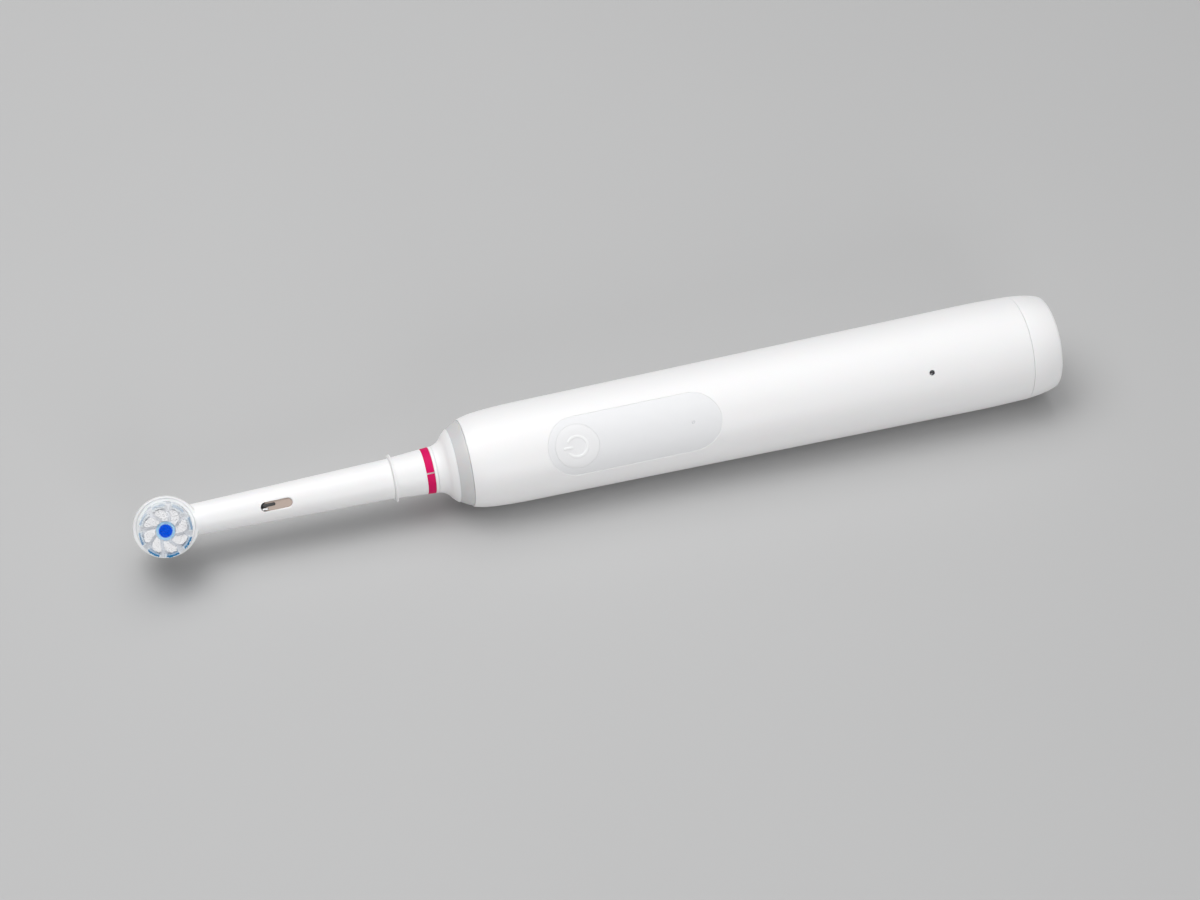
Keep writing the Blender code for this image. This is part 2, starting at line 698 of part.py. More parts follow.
def petal_tuft_places():
    """Strands of the petals: rows across a leaf that widens outwards and turns about the centre."""
    places = []
    for petal in range(TUFT_COUNT):
        for row in range(PETAL_ROWS):
            share = row / (PETAL_ROWS - 1)
            radius = between(PETAL_INNER_RADIUS, PETAL_OUTER_RADIUS, share)
            lean = PETAL_TURN * share
            swell = math.sin(math.pi * between(*PETAL_SWELL_SHARES, share))
            width = PETAL_WIDTH * between(PETAL_WAIST_SHARE, 1.0, swell)
            for column in range(PETAL_COLUMNS):
                across = width * (column / (PETAL_COLUMNS - 1) - 0.5)
                angle = math.tau * petal / TUFT_COUNT + lean + across / radius
                places.append((radius * math.cos(angle), radius * math.sin(angle)))
    return places


def rim_tuft_places():
    """Strands of the rim: short arcs, two rows deep."""
    places = []
    for tuft in range(TUFT_COUNT):
        for row in range(RIM_TUFT_ROWS):
            radius = RIM_TUFT_RADIUS + RIM_TUFT_DEPTH * (row / (RIM_TUFT_ROWS - 1) - 0.5)
            for column in range(RIM_TUFT_COLUMNS):
                along = RIM_TUFT_ARC * (column / (RIM_TUFT_COLUMNS - 1) - 0.5)
                angle = math.tau * tuft / TUFT_COUNT + RIM_TUFT_START + along
                places.append((radius * math.cos(angle), radius * math.sin(angle)))
    return places


def tufted_slice(name, outer, inner, places, finish):
    """Flat round or ring-shaped slice with one three-sided strand fused to it at each place."""
    rim = [(x / outer, y / outer) for x, y in circle(outer, SLICE_SIDES)]
    hole = [(x / outer, y / outer) for x, y in circle(inner, SLICE_SIDES)] if inner else []
    flat = [mathutils.Vector(point) for point in rim + hole]
    hole_edges = [(SLICE_SIDES + k, SLICE_SIDES + (k + 1) % SLICE_SIDES) for k in range(len(hole))]
    strands = []
    for x, y in places:
        turn = math.atan2(y, x)
        first = len(flat)
        for corner in range(STRAND_SIDES):
            angle = turn + math.tau * corner / STRAND_SIDES
            corner_x = x + STRAND_RADIUS * math.cos(angle)
            corner_y = y + STRAND_RADIUS * math.sin(angle)
            flat.append(mathutils.Vector((corner_x / outer, corner_y / outer)))
        strands.append(list(range(first, first + STRAND_SIDES)))
    net = delaunay_2d_cdt(flat, hole_edges, strands, 0, NET_TOLERANCE)
    net_points, net_faces, net_origins = net[0], net[2], net[5]

    points = [(point.x * outer, point.y * outer, SLICE_TOP) for point in net_points]
    new_index = {origin: index for index, origins in enumerate(net[3]) for origin in origins}
    below = {}
    for origin in range(len(rim) + len(hole)):
        index = new_index[origin]
        below[index] = len(points)
        points.append((points[index][0], points[index][1], SLICE_BOTTOM))
    faces = []
    for face, origins in zip(net_faces, net_origins):
        middle = sum((net_points[index] for index in face), mathutils.Vector((0, 0))) / len(face)
        if inner and middle.length < inner / outer * math.cos(math.pi / SLICE_SIDES):
            continue
        if not origins:
            faces.append(list(face))
            continue
        step = origins[0] % STRAND_LENGTH_STEPS
        tip = SLICE_TOP + STRAND_LENGTH + STRAND_LENGTH_SPREAD * (step / (STRAND_LENGTH_STEPS - 1) - 0.5)
        top = []
        for index in face:
            top.append(len(points))
            points.append((points[index][0], points[index][1], tip))
        faces.append(top)
        for k in range(len(face)):
            after = (k + 1) % len(face)
            faces.append([face[k], face[after], top[after], top[k]])
    outer_ring = [new_index[k] for k in range(SLICE_SIDES)]
    inner_ring = [new_index[SLICE_SIDES + k] for k in range(len(hole))]
    for ring in (outer_ring, inner_ring):
        for k in range(len(ring)):
            first, second = ring[k], ring[(k + 1) % len(ring)]
            faces.append([first, second, below[second], below[first]])
    if inner_ring:
        for k in range(SLICE_SIDES):
            after = (k + 1) % SLICE_SIDES
            edge = [outer_ring[k], outer_ring[after], inner_ring[after], inner_ring[k]]
            faces.append([below[index] for index in edge])
    else:
        faces.append([below[index] for index in outer_ring])
    used = {index for face in faces for index in face}
    renumber = {index: new for new, index in enumerate(sorted(used))}
    kept_points = [points[index] for index in sorted(used)]
    kept_faces = [[renumber[index] for index in face] for face in faces]
    place(closed_mesh(name, kept_points, kept_faces), finish, (-HEAD_STATION, 0, 0))


def build_tufts():
    """The three tuft slices: a blue centre, white petals and a blue rim."""
    centre_edge = between(CENTRE_TUFT_RADIUS, PETAL_INNER_RADIUS, 0.5)
    petal_edge = between(PETAL_OUTER_RADIUS, RIM_TUFT_RADIUS - RIM_TUFT_DEPTH, 0.5)
    half_gap = CLEARANCE / 2
    rim_edge = min(RIM_TUFT_RADIUS + RIM_EDGE + RIM_TUFT_DEPTH / 2, CARRIER_RADIUS)
    petals = petal_tuft_places()
    tufted_slice("centre_tuft", centre_edge - half_gap, 0, centre_tuft_places(), BLUE_NYLON)
    tufted_slice("petal_tufts", petal_edge - half_gap, centre_edge + half_gap, petals, CLEAR_NYLON)
    tufted_slice("rim_tufts", rim_edge, petal_edge + half_gap, rim_tuft_places(), BLUE_NYLON)


def build_housing():
    """White one-piece handle shell with openings for the panel, the grip and the charge light."""
    outer = handle_outline()
    outer[0] = (SEAM_STATION + CLEARANCE, SEAM_RADIUS)
    outer[-1] = (RING_REAR_STATION - CLEARANCE, RING_REAR_RADIUS)
    lip = NOSE_SKIRT_RADIUS + CLEARANCE
    lip_station = RING_REAR_STATION - NOSE_SEAT_LENGTH
    inner = [(outer[-1][0], lip), (lip_station, lip), (lip_station, handle_bore(lip_station))]
    inner += [(s, handle_bore(s)) for s, _ in reversed(outer) if s < lip_station]
    housing = place(turned("housing", outer + inner, BODY_SIDES), WHITE_GLOSS)
    panel = stadium(PANEL_LENGTH, PANEL_WIDTH)
    panel_centre = between(PANEL_REAR_STATION, PANEL_FRONT_STATION, 0.5)
    cut(housing, prism("panel_opening_cut", panel, 0, REAR_RADIUS + OVERRUN), (-panel_centre, 0, 0))
    grip = stadium(GRIP_LENGTH, GRIP_WIDTH)
    grip_centre = GRIP_FRONT_STATION - GRIP_LENGTH / 2
    cut(housing, prism("grip_opening_cut", grip, -REAR_RADIUS - OVERRUN, 0), (-grip_centre, 0, 0))
    lens = circle(CHARGE_LENS_RADIUS + CLEARANCE, PIN_SIDES)
    cut(housing, prism("charge_hole_cut", lens, 0, REAR_RADIUS + OVERRUN), (-CHARGE_LENS_STATION, 0, 0))


def panel_half_angle(width, station):
    """Half of the angle that a strip of a width takes on the handle, with an overrun each side."""
    return math.asin((width / 2 + OVERRUN) / handle_bore(station))


def build_front_panel():
    """Soft inlay on the front, round the button, with a pinhole for its own light."""
    rear, front = PANEL_REAR_STATION - OVERRUN, PANEL_FRONT_STATION + OVERRUN
    panel = wall_section(
        "front_panel", rear, front, panel_half_angle(PANEL_WIDTH, front), PANEL_STEPS, top=PANEL_RECESS
    )
    place(panel, SOFT_GREY)
    edge = stadium(PANEL_LENGTH - 2 * CLEARANCE, PANEL_WIDTH - 2 * CLEARANCE)
    centre = between(PANEL_REAR_STATION, PANEL_FRONT_STATION, 0.5)
    outline = place(prism("panel_edge", edge, 0, REAR_RADIUS + OVERRUN), None, (-centre, 0, 0))
    combine(panel, outline, "INTERSECT")
    hole = circle(BUTTON_RADIUS + CLEARANCE, SMALL_SIDES)
    cut(panel, prism("button_hole_cut", hole, 0, REAR_RADIUS + OVERRUN), (-BUTTON_STATION, 0, 0))
    light = circle(PANEL_LENS_RADIUS + CLEARANCE, PIN_SIDES)
    cut(panel, prism("panel_light_cut", light, 0, REAR_RADIUS + OVERRUN), (-PANEL_LENS_STATION, 0, 0))


def button_top():
    """Height of the button's middle above the handle's axis."""
    return handle_radius(BUTTON_STATION) - PANEL_RECESS


def build_button():
    """Round push button with a raised power sign, and a stem that reaches down to the switch."""
    reach = BUTTON_RADIUS + OVERRUN
    rear, front = BUTTON_STATION - reach, BUTTON_STATION + reach
    half_angle = panel_half_angle(2 * BUTTON_RADIUS, front)
    cap = wall_section("button_cap", rear, front, half_angle, PANEL_STEPS, top=PANEL_RECESS)
    place(cap, SOFT_GREY)
    top = REAR_RADIUS + OVERRUN
    edge = prism("button_edge", circle(BUTTON_RADIUS, SMALL_SIDES), 0, top)
    combine(cap, place(edge, None, (-BUTTON_STATION, 0, 0)), "INTERSECT")
    middle = between(handle_bore(BUTTON_STATION), button_top(), 0.5)
    sign_top = button_top() + SYMBOL_HEIGHT
    sign = [
        (middle, SYMBOL_RADIUS - SYMBOL_LINE),
        (middle, SYMBOL_RADIUS),
        (sign_top, SYMBOL_RADIUS),
        (sign_top, SYMBOL_RADIUS - SYMBOL_LINE),
    ]
    half_gap = SYMBOL_GAP_ANGLE / 2
    span = (-math.pi + half_gap, math.pi - half_gap)
    ring = turned("power_ring", sign, SMALL_SIDES, on_front_axis, span=span)
    join(cap, ring, (-BUTTON_STATION, 0, 0))
    bar_end = -SYMBOL_RADIUS - SYMBOL_LINE
    bar = rectangle(bar_end, bar_end + SYMBOL_BAR_LENGTH, -SYMBOL_LINE / 2, SYMBOL_LINE / 2)
    join(cap, prism("power_bar", bar, middle, sign_top), (-BUTTON_STATION, 0, 0))
    stem_end = plunger_top() + CLEARANCE
    stem = prism("button_stem", circle(BUTTON_STEM_RADIUS, PIN_SIDES), stem_end, middle)
    join(cap, stem, (-BUTTON_STATION, 0, 0))


def build_rear_grip():
    """Soft ribbed inlay along the back of the handle."""
    rear = GRIP_FRONT_STATION - GRIP_LENGTH
    count = int((GRIP_LENGTH - GRIP_WIDTH) / GRIP_RIB_PITCH)
    start = rear + (GRIP_LENGTH - count * GRIP_RIB_PITCH) / 2
    outer = [(rear - OVERRUN, handle_radius(rear - OVERRUN))]
    for rib in range(count):
        for along, height in GRIP_RIB_SHARES:
            station = start + (rib + along) * GRIP_RIB_PITCH
            outer.append((station, handle_radius(station) + height * GRIP_RIB_HEIGHT))
    outer.append((GRIP_FRONT_STATION + OVERRUN, handle_radius(GRIP_FRONT_STATION + OVERRUN)))
    inner = [(s, handle_bore(s)) for s in (outer[-1][0], outer[0][0])]
    half_angle = panel_half_angle(GRIP_WIDTH, GRIP_FRONT_STATION)
    grip = turned(
        "rear_grip", outer + inner, GRIP_STEPS, span=(math.pi - half_angle, math.pi + half_angle)
    )
    place(grip, SOFT_GREY)
    edge = stadium(GRIP_LENGTH - 2 * CLEARANCE, GRIP_WIDTH - 2 * CLEARANCE)
    centre = GRIP_FRONT_STATION - GRIP_LENGTH / 2
    outline = place(prism("grip_edge", edge, -REAR_RADIUS - OVERRUN, 0), None, (-centre, 0, 0))
    combine(grip, outline, "INTERSECT")


def build_lenses():
    """Charge light in the housing and the small light of the front panel."""
    for name, station, radius, sink in (
        ("charge_lens", CHARGE_LENS_STATION, CHARGE_LENS_RADIUS, 0.0),
        ("panel_lens", PANEL_LENS_STATION, PANEL_LENS_RADIUS, PANEL_RECESS),
    ):
        low = BOARD_TOP + CLEARANCE + LED_HEIGHT + CLEARANCE
        high = handle_radius(station) - sink
        lens = prism(name, circle(radius, PIN_SIDES), low, high)
        place(lens, LENS_DARK, (-station, 0, 0))


def build_light_ring():
    """Translucent cone-shaped ring between the housing and the nose."""
    bore = NOSE_SKIRT_RADIUS + CLEARANCE
    outline = [
        (RING_REAR_STATION, bore),
        (RING_REAR_STATION, RING_REAR_RADIUS),
        (RING_FRONT_STATION, RING_FRONT_RADIUS),
        (RING_FRONT_STATION, bore),
    ]
    place(turned("light_ring", outline, BODY_SIDES), RING_GREY)


def build_nose():
    """Nose collar with its skirt, the spigot that holds the refill, and seats for bearing and seal."""
    rear = RING_FRONT_STATION + CLEARANCE
    length = COLLAR_STATION - rear
    drop = RING_FRONT_RADIUS - COLLAR_END_RADIUS
    collar = [(rear + along * length, COLLAR_END_RADIUS + up * drop) for along, up in COLLAR_SHARES]
    bearing_end = NOSE_REAR_STATION + FRONT_BEARING_LENGTH + CLEARANCE
    bearing_seat = BEARING_RADIUS + CLEARANCE
    outline = [
        (NOSE_REAR_STATION, NOSE_SKIRT_RADIUS),
        (rear, NOSE_SKIRT_RADIUS),
        (rear, RING_FRONT_RADIUS),
        *collar,
        (COLLAR_STATION, COLLAR_END_RADIUS),
        (COLLAR_STATION, SPIGOT_RADIUS),
        (NOSE_TIP_STATION, SPIGOT_RADIUS - SPIGOT_TAPER),
        (NOSE_TIP_STATION, bearing_seat),
        (SEAL_STATION - CLEARANCE, bearing_seat),
        (SEAL_STATION - CLEARANCE, SHAFT_BORE_RADIUS + CLEARANCE),
        (bearing_end, SHAFT_BORE_RADIUS + CLEARANCE),
        (bearing_end, bearing_seat),
        (NOSE_REAR_STATION, bearing_seat),
    ]
    place(turned("nose_collar", outline, BODY_SIDES), WHITE_GLOSS)


def bush(name, rear, front, finish):
    """Plain bush or ring on the drive shaft."""
    outline = [
        (rear, SHAFT_BORE_RADIUS),
        (rear, BEARING_RADIUS),
        (front, BEARING_RADIUS),
        (front, SHAFT_BORE_RADIUS),
    ]
    place(turned(name, outline, SMALL_SIDES), finish)


def build_bearings_and_seal():
    """Two bronze bushes of the drive shaft and the rubber seal at the nose's tip."""
    bush("rear_bearing", BEARING_WALL_STATION, CHASSIS_FRONT_STATION, BRONZE)
    bush("front_bearing", NOSE_REAR_STATION, NOSE_REAR_STATION + FRONT_BEARING_LENGTH, BRONZE)
    bush("shaft_seal", SEAL_STATION, NOSE_TIP_STATION - CLEARANCE, BLACK_RUBBER)


def cap_skirt_radius():
    """Outside radius of the base cap's skirt inside the housing."""
    return min(handle_bore(SEAM_STATION), handle_bore(CAP_SKIRT_STATION)) - CLEARANCE


def build_base_cap():
    """Base cap with a rounded rim, a skirt inside the housing and the round charging socket."""
    rim = []
    for step in range(BASE_EDGE_STEPS + 1):
        angle = step / BASE_EDGE_STEPS * math.pi / 2
        station = BASE_EDGE_LENGTH * (1 - math.cos(angle))
        rim.append((station, between(BASE_FACE_RADIUS, BASE_EDGE_RADIUS, math.sin(angle))))
    skirt = cap_skirt_radius()
    groove = skirt - 2 * CAP_RING_RADIUS - CLEARANCE
    groove_rear = SEAM_STATION + (CAP_SKIRT_LENGTH - 2 * CAP_RING_RADIUS) / 2 - CLEARANCE
    groove_front = groove_rear + 2 * CAP_RING_RADIUS + 2 * CLEARANCE
    inside = skirt - 2 * CAP_RING_RADIUS - CLEARANCE - CAP_SKIRT_WALL
    tube = SOCKET_RADIUS + SOCKET_WALL
    outline = [
        (0, SOCKET_RADIUS),
        *rim,
        (SEAM_STATION, SEAM_RADIUS),
        (SEAM_STATION, skirt),
        (groove_rear, skirt),
        (groove_rear, groove),
        (groove_front, groove),
        (groove_front, skirt),
        (CAP_SKIRT_STATION, skirt),
        (CAP_SKIRT_STATION, inside),
        (CAP_FLOOR, inside),
        (CAP_FLOOR, tube),
        (SOCKET_DEPTH + SOCKET_WALL, tube),
        (SOCKET_DEPTH + SOCKET_WALL, 0),
        (SOCKET_DEPTH, 0),
        (SOCKET_DEPTH, SOCKET_RADIUS),
    ]
    place(turned("base_cap", outline, BODY_SIDES), WHITE_GLOSS)

    ring_station = between(groove_rear, groove_front, 0.5)
    ring_middle = groove + CLEARANCE + CAP_RING_RADIUS
    section = [
        (ring_station + CAP_RING_RADIUS * math.cos(angle), ring_middle + CAP_RING_RADIUS * math.sin(angle))
        for angle in (math.tau * (k + 0.5) / SEAL_SIDES for k in range(SEAL_SIDES))
    ]
    place(turned("base_seal", section, SMALL_SIDES), BLACK_RUBBER)


def build_charging_coil():
    """Bobbin round the charging socket and the winding on it."""
    bore = SOCKET_RADIUS + SOCKET_WALL + CLEARANCE
    core = bore + BOBBIN_WALL
    flange = core + CLEARANCE + COIL_DEPTH + CLEARANCE
    rear = CAP_FLOOR + CLEARANCE
    front = rear + BOBBIN_LENGTH
    bobbin = [
        (rear, bore),
        (rear, flange),
        (rear + BOBBIN_WALL, flange),
        (rear + BOBBIN_WALL, core),
        (front - BOBBIN_WALL, core),
        (front - BOBBIN_WALL, flange),
        (front, flange),
        (front, bore),
    ]
    place(turned("coil_bobbin", bobbin, SMALL_SIDES), FERRITE)
    wind_rear = rear + BOBBIN_WALL + CLEARANCE
    wind_front = front - BOBBIN_WALL - CLEARANCE
    inner, outer = core + CLEARANCE, core + CLEARANCE + COIL_DEPTH
    coil = [(wind_rear, inner), (wind_rear, outer), (wind_front, outer), (wind_front, inner)]
    place(turned("charging_coil", coil, SMALL_SIDES), COPPER)


def chassis_radius(station):
    """Outside radius of the chassis, a clearance inside the housing's wall."""
    return handle_bore(station) - CLEARANCE


def battery_height():
    """Height of the battery's centre: it lies in the trough of the chassis."""
    trough = chassis_radius(BATTERY_TOP_STATION) - CHASSIS_WALL
    return -(trough - CLEARANCE - BATTERY_RADIUS)


def build_battery():
    """Round cell with its raised pole, and the welded tab at each end."""
    top = BATTERY_TOP_STATION
    outline = [
        (BATTERY_STATION, 0),
        (BATTERY_STATION, BATTERY_RADIUS),
        (top, BATTERY_RADIUS),
        (top, BATTERY_NUB_RADIUS),
        (top + BATTERY_NUB_HEIGHT, BATTERY_NUB_RADIUS),
        (top + BATTERY_NUB_HEIGHT, 0),
    ]
    height = battery_height()
    place(turned("battery", outline, SMALL_SIDES), BATTERY_WRAP, (0, 0, height))
    reach = BOARD_HEIGHT - CLEARANCE
    for name, station in (("battery_tab_rear", TAB_REAR_STATION), ("battery_tab_front", TAB_FRONT_STATION)):
        low = height - TAB_WIDTH / 2
        strip = rectangle(-TAB_WIDTH / 2, TAB_WIDTH / 2, low, reach)
        place(prism(name, strip, station, station + TAB_THICKNESS, "handle"), STEEL)


def build_chassis():
    """Trough that carries battery, motor and board, with its walls across the handle."""
    rear, front = CHASSIS_REAR_STATION, CHASSIS_FRONT_STATION
    stations = [rear, *(s for s, _ in handle_outline() if rear < s < front), front]
    outer = [(s, chassis_radius(s)) for s in stations]
    inner = [(s, chassis_radius(s) - CHASSIS_WALL) for s in reversed(stations)]
    span = (math.pi - CHASSIS_HALF_ANGLE, math.pi + CHASSIS_HALF_ANGLE)
    chassis = place(turned("chassis", outer + inner, CHASSIS_STEPS, span=span), CHASSIS_BLUE)
    half_wall = CHASSIS_WALL / 2
    for name, station, thickness in (
        ("rear_wall", CHASSIS_REAR_STATION, BULKHEAD_THICKNESS),
        ("battery_wall", BULKHEAD_STATION, BULKHEAD_THICKNESS),
        ("motor_wall", MOTOR_PLATE_STATION, MOTOR_PLATE_THICKNESS),
        ("bearing_wall", BEARING_WALL_STATION, BEARING_WALL_THICKNESS),
    ):
        end = station + thickness
        wall = [
            (station, 0),
            (station, chassis_radius(station) - half_wall),
            (end, chassis_radius(end) - half_wall),
            (end, 0),
        ]
        join(chassis, turned(name, wall, SMALL_SIDES))
    top = BOARD_HEIGHT - CLEARANCE
    above = rectangle(-REAR_RADIUS, REAR_RADIUS, top, REAR_RADIUS)
    space_rear = BOARD_REAR_STATION - BULKHEAD_THICKNESS
    cut(chassis, prism("board_space_cut", above, space_rear, front + OVERRUN, "handle"))
    plate_low = MOTOR_PLATE_STATION - OVERRUN
    plate_high = MOTOR_PLATE_STATION + MOTOR_PLATE_THICKNESS + OVERRUN
    holes = [
        ("shaft_hole_cut", MOTOR_BOSS_RADIUS + CLEARANCE, (0, 0), plate_low, plate_high),
        ("axle_hole_cut", AXLE_RADIUS + CLEARANCE, (0, -GEAR_DISTANCE), plate_low, plate_high),
        ("bearing_hole_cut", BEARING_RADIUS + CLEARANCE, (0, 0), ROCKER_END_STATION, front + OVERRUN),
    ]
    for side in (-1, 1):
        spot = (side * MOTOR_SCREW_SPACING / 2, 0)
        radius = MOTOR_SCREW_RADIUS + CLEARANCE
        holes.append((f"screw_hole_cut_{side}", radius, spot, plate_low, plate_high))
    for name, radius, centre, low, high in holes:
        cut(chassis, prism(name, circle(radius, PIN_SIDES, centre), low, high, "handle"))


def build_board():
    """Circuit board along the front, with the switch, its plunger and three light-emitting diodes."""
    board = rectangle(-BOARD_FRONT_STATION, -BOARD_REAR_STATION, -BOARD_WIDTH / 2, BOARD_WIDTH / 2)
    place(prism("circuit_board", board, BOARD_HEIGHT, BOARD_TOP), BOARD_GREEN)
    half = SWITCH_WIDTH / 2
    low = BOARD_TOP + CLEARANCE
    switch = prism("switch_body", rectangle(-half, half, -half, half), low, low + SWITCH_HEIGHT)
    place(switch, LENS_DARK, (-BUTTON_STATION, 0, 0))
    hole = prism("plunger_hole_cut", circle(PLUNGER_RADIUS + CLEARANCE, PIN_SIDES), 0, REAR_RADIUS)
    cut(switch, hole, (-BUTTON_STATION, 0, 0))
    plunger = prism(
        "switch_plunger", circle(PLUNGER_RADIUS, PIN_SIDES), low + BUTTON_TRAVEL, plunger_top()
    )
    place(plunger, LENS_DARK, (-BUTTON_STATION, 0, 0))
    diode = rectangle(-LED_LENGTH / 2, LED_LENGTH / 2, -LED_WIDTH / 2, LED_WIDTH / 2)
    for name, station in (
        ("charge_led", CHARGE_LENS_STATION),
        ("panel_led", PANEL_LENS_STATION),
        ("ring_led", BOARD_FRONT_STATION - LED_LENGTH),
    ):
        place(prism(name, diode, low, low + LED_HEIGHT), GEAR_WHITE, (-station, 0, 0))


def plunger_top():
    """Height of the switch plunger's top at rest."""
    return BOARD_TOP + CLEARANCE + SWITCH_HEIGHT + BUTTON_TRAVEL + CLEARANCE


def build_motor():
    """Flat-sided motor: can, end cap, two magnets, and the armature on its shaft."""
    rear, front = MOTOR_STATION, MOTOR_FRONT_STATION
    inside = MOTOR_RADIUS - MOTOR_CAN_WALL
    hole = (MOTOR_SHAFT_RADIUS + CLEARANCE) / MOTOR_FLAT_SHARE
    boss = front + MOTOR_PLATE_THICKNESS / 2
    can = [
        (rear, inside),
        (rear, MOTOR_RADIUS),
        (front, MOTOR_RADIUS),
        (front, MOTOR_BOSS_RADIUS),
        (boss, MOTOR_BOSS_RADIUS),
        (boss, hole),
        (front - MOTOR_CAN_WALL, hole),
        (front - MOTOR_CAN_WALL, inside),
    ]
    can_piece = turned("motor_can", can, SMALL_SIDES, flat_share=MOTOR_FLAT_SHARE)
    place(can_piece, STEEL)
    for side in (-1, 1):
        spot = circle(MOTOR_SCREW_RADIUS + CLEARANCE, PIN_SIDES, (side * MOTOR_SCREW_SPACING / 2, 0))
        low = front - MOTOR_CAN_WALL - OVERRUN
        cut(can_piece, prism(f"can_screw_cut_{side}", spot, low, front + OVERRUN, "handle"))
    cap_rear = MOTOR_CAP_STATION
    cap = [
        (cap_rear, 0),
        (cap_rear, MOTOR_RADIUS),
        (rear - CLEARANCE, MOTOR_RADIUS),
        (rear - CLEARANCE, inside - CLEARANCE),
        (rear + CLEARANCE, inside - CLEARANCE),
        (rear + CLEARANCE, hole),
        (between(cap_rear, rear, 0.5), hole),
        (between(cap_rear, rear, 0.5), 0),
    ]
    place(turned("motor_end_cap", cap, SMALL_SIDES, flat_share=MOTOR_FLAT_SHARE), BLACK_RUBBER)

    magnet_outer = inside - CLEARANCE
    magnet_inner = magnet_outer - MAGNET_THICKNESS
    magnet_rear = front - MOTOR_CAN_WALL - CLEARANCE - ARMATURE_LENGTH
    magnet_front = front - MOTOR_CAN_WALL - CLEARANCE
    magnet = [
        (magnet_rear, magnet_inner),
        (magnet_rear, magnet_outer),
        (magnet_front, magnet_outer),
        (magnet_front, magnet_inner),
    ]
    for name, middle in (("motor_magnet_left", math.pi / 2), ("motor_magnet_right", -math.pi / 2)):
        span = (middle - MAGNET_HALF_ANGLE, middle + MAGNET_HALF_ANGLE)
        piece = turned(name, magnet, MAGNET_STEPS, span=span)
        place(piece, FERRITE)
        centre = (math.copysign(MOTOR_SCREW_SPACING / 2, middle), 0)
        spot = circle(MOTOR_SCREW_RADIUS + 2 * CLEARANCE, PIN_SIDES, centre)
        low = front - MOTOR_SCREW_LENGTH - OVERRUN
        cut(piece, prism(f"{name}_cut", spot, low, front, "handle"))

    core_rear = front - MOTOR_CAN_WALL - 2 * CLEARANCE - ARMATURE_LENGTH
    core_front = core_rear + ARMATURE_LENGTH - CLEARANCE
    bore = MOTOR_SHAFT_RADIUS + CLEARANCE
    radius = min(ARMATURE_RADIUS, magnet_inner - CLEARANCE)
    armature = [
        (core_rear - COMMUTATOR_LENGTH, bore),
        (core_rear - COMMUTATOR_LENGTH, COMMUTATOR_RADIUS),
        (core_rear, COMMUTATOR_RADIUS),
        (core_rear, radius),
        (core_front, radius),
        (core_front, bore),
    ]
    place(turned("armature", armature, SMALL_SIDES), COPPER)
    shaft_rear = between(cap_rear, rear, 0.5) + CLEARANCE
    shaft_front = GEAR_STATION + GEAR_WIDTH
    shaft = [
        (shaft_rear, 0),
        (shaft_rear, MOTOR_SHAFT_RADIUS),
        (shaft_front, MOTOR_SHAFT_RADIUS),
        (shaft_front, 0),
    ]
    place(turned("motor_shaft", shaft, PIN_SIDES), STEEL)


def build_motor_screws():
    """Two screws that hold the motor to its wall."""
    head_rear = MOTOR_PLATE_STATION + MOTOR_PLATE_THICKNESS + CLEARANCE / 2
    head_front = head_rear + MOTOR_SCREW_HEAD_HEIGHT
    end = head_rear - MOTOR_SCREW_LENGTH
    outline = [
        (end, 0),
        (end, MOTOR_SCREW_RADIUS),
        (head_rear, MOTOR_SCREW_RADIUS),
        (head_rear, MOTOR_SCREW_HEAD_RADIUS),
        (head_front, MOTOR_SCREW_HEAD_RADIUS),
        (head_front, 0),
    ]
    for name, side in (("motor_screw_left", 1), ("motor_screw_right", -1)):
        screw = turned(name, outline, PIN_SIDES)
        place(screw, DARK_STEEL, (0, side * MOTOR_SCREW_SPACING / 2, 0))


def gear_outline(teeth, phase):
    """Outline of a spur gear: each tooth narrows from its root over the pitch circle to its tip."""
    pitch = GEAR_MODULE * teeth / 2
    radii = {
        "root": pitch - TOOTH_ROOT_SHARE * GEAR_MODULE,
        "pitch": pitch,
        "tip": pitch + TOOTH_TIP_SHARE * GEAR_MODULE,
    }
    points = []
    for tooth in range(teeth):
        middle = phase + math.tau * tooth / teeth
        flank = [(share * math.tau / teeth, radii[level]) for share, level in TOOTH_SHAPE_SHARES]
        for turn, radius in [(-t, r) for t, r in flank] + [(t, r) for t, r in reversed(flank)]:
            angle = middle + 2 * turn
            points.append((radius * math.sin(angle), radius * math.cos(angle)))
    return points


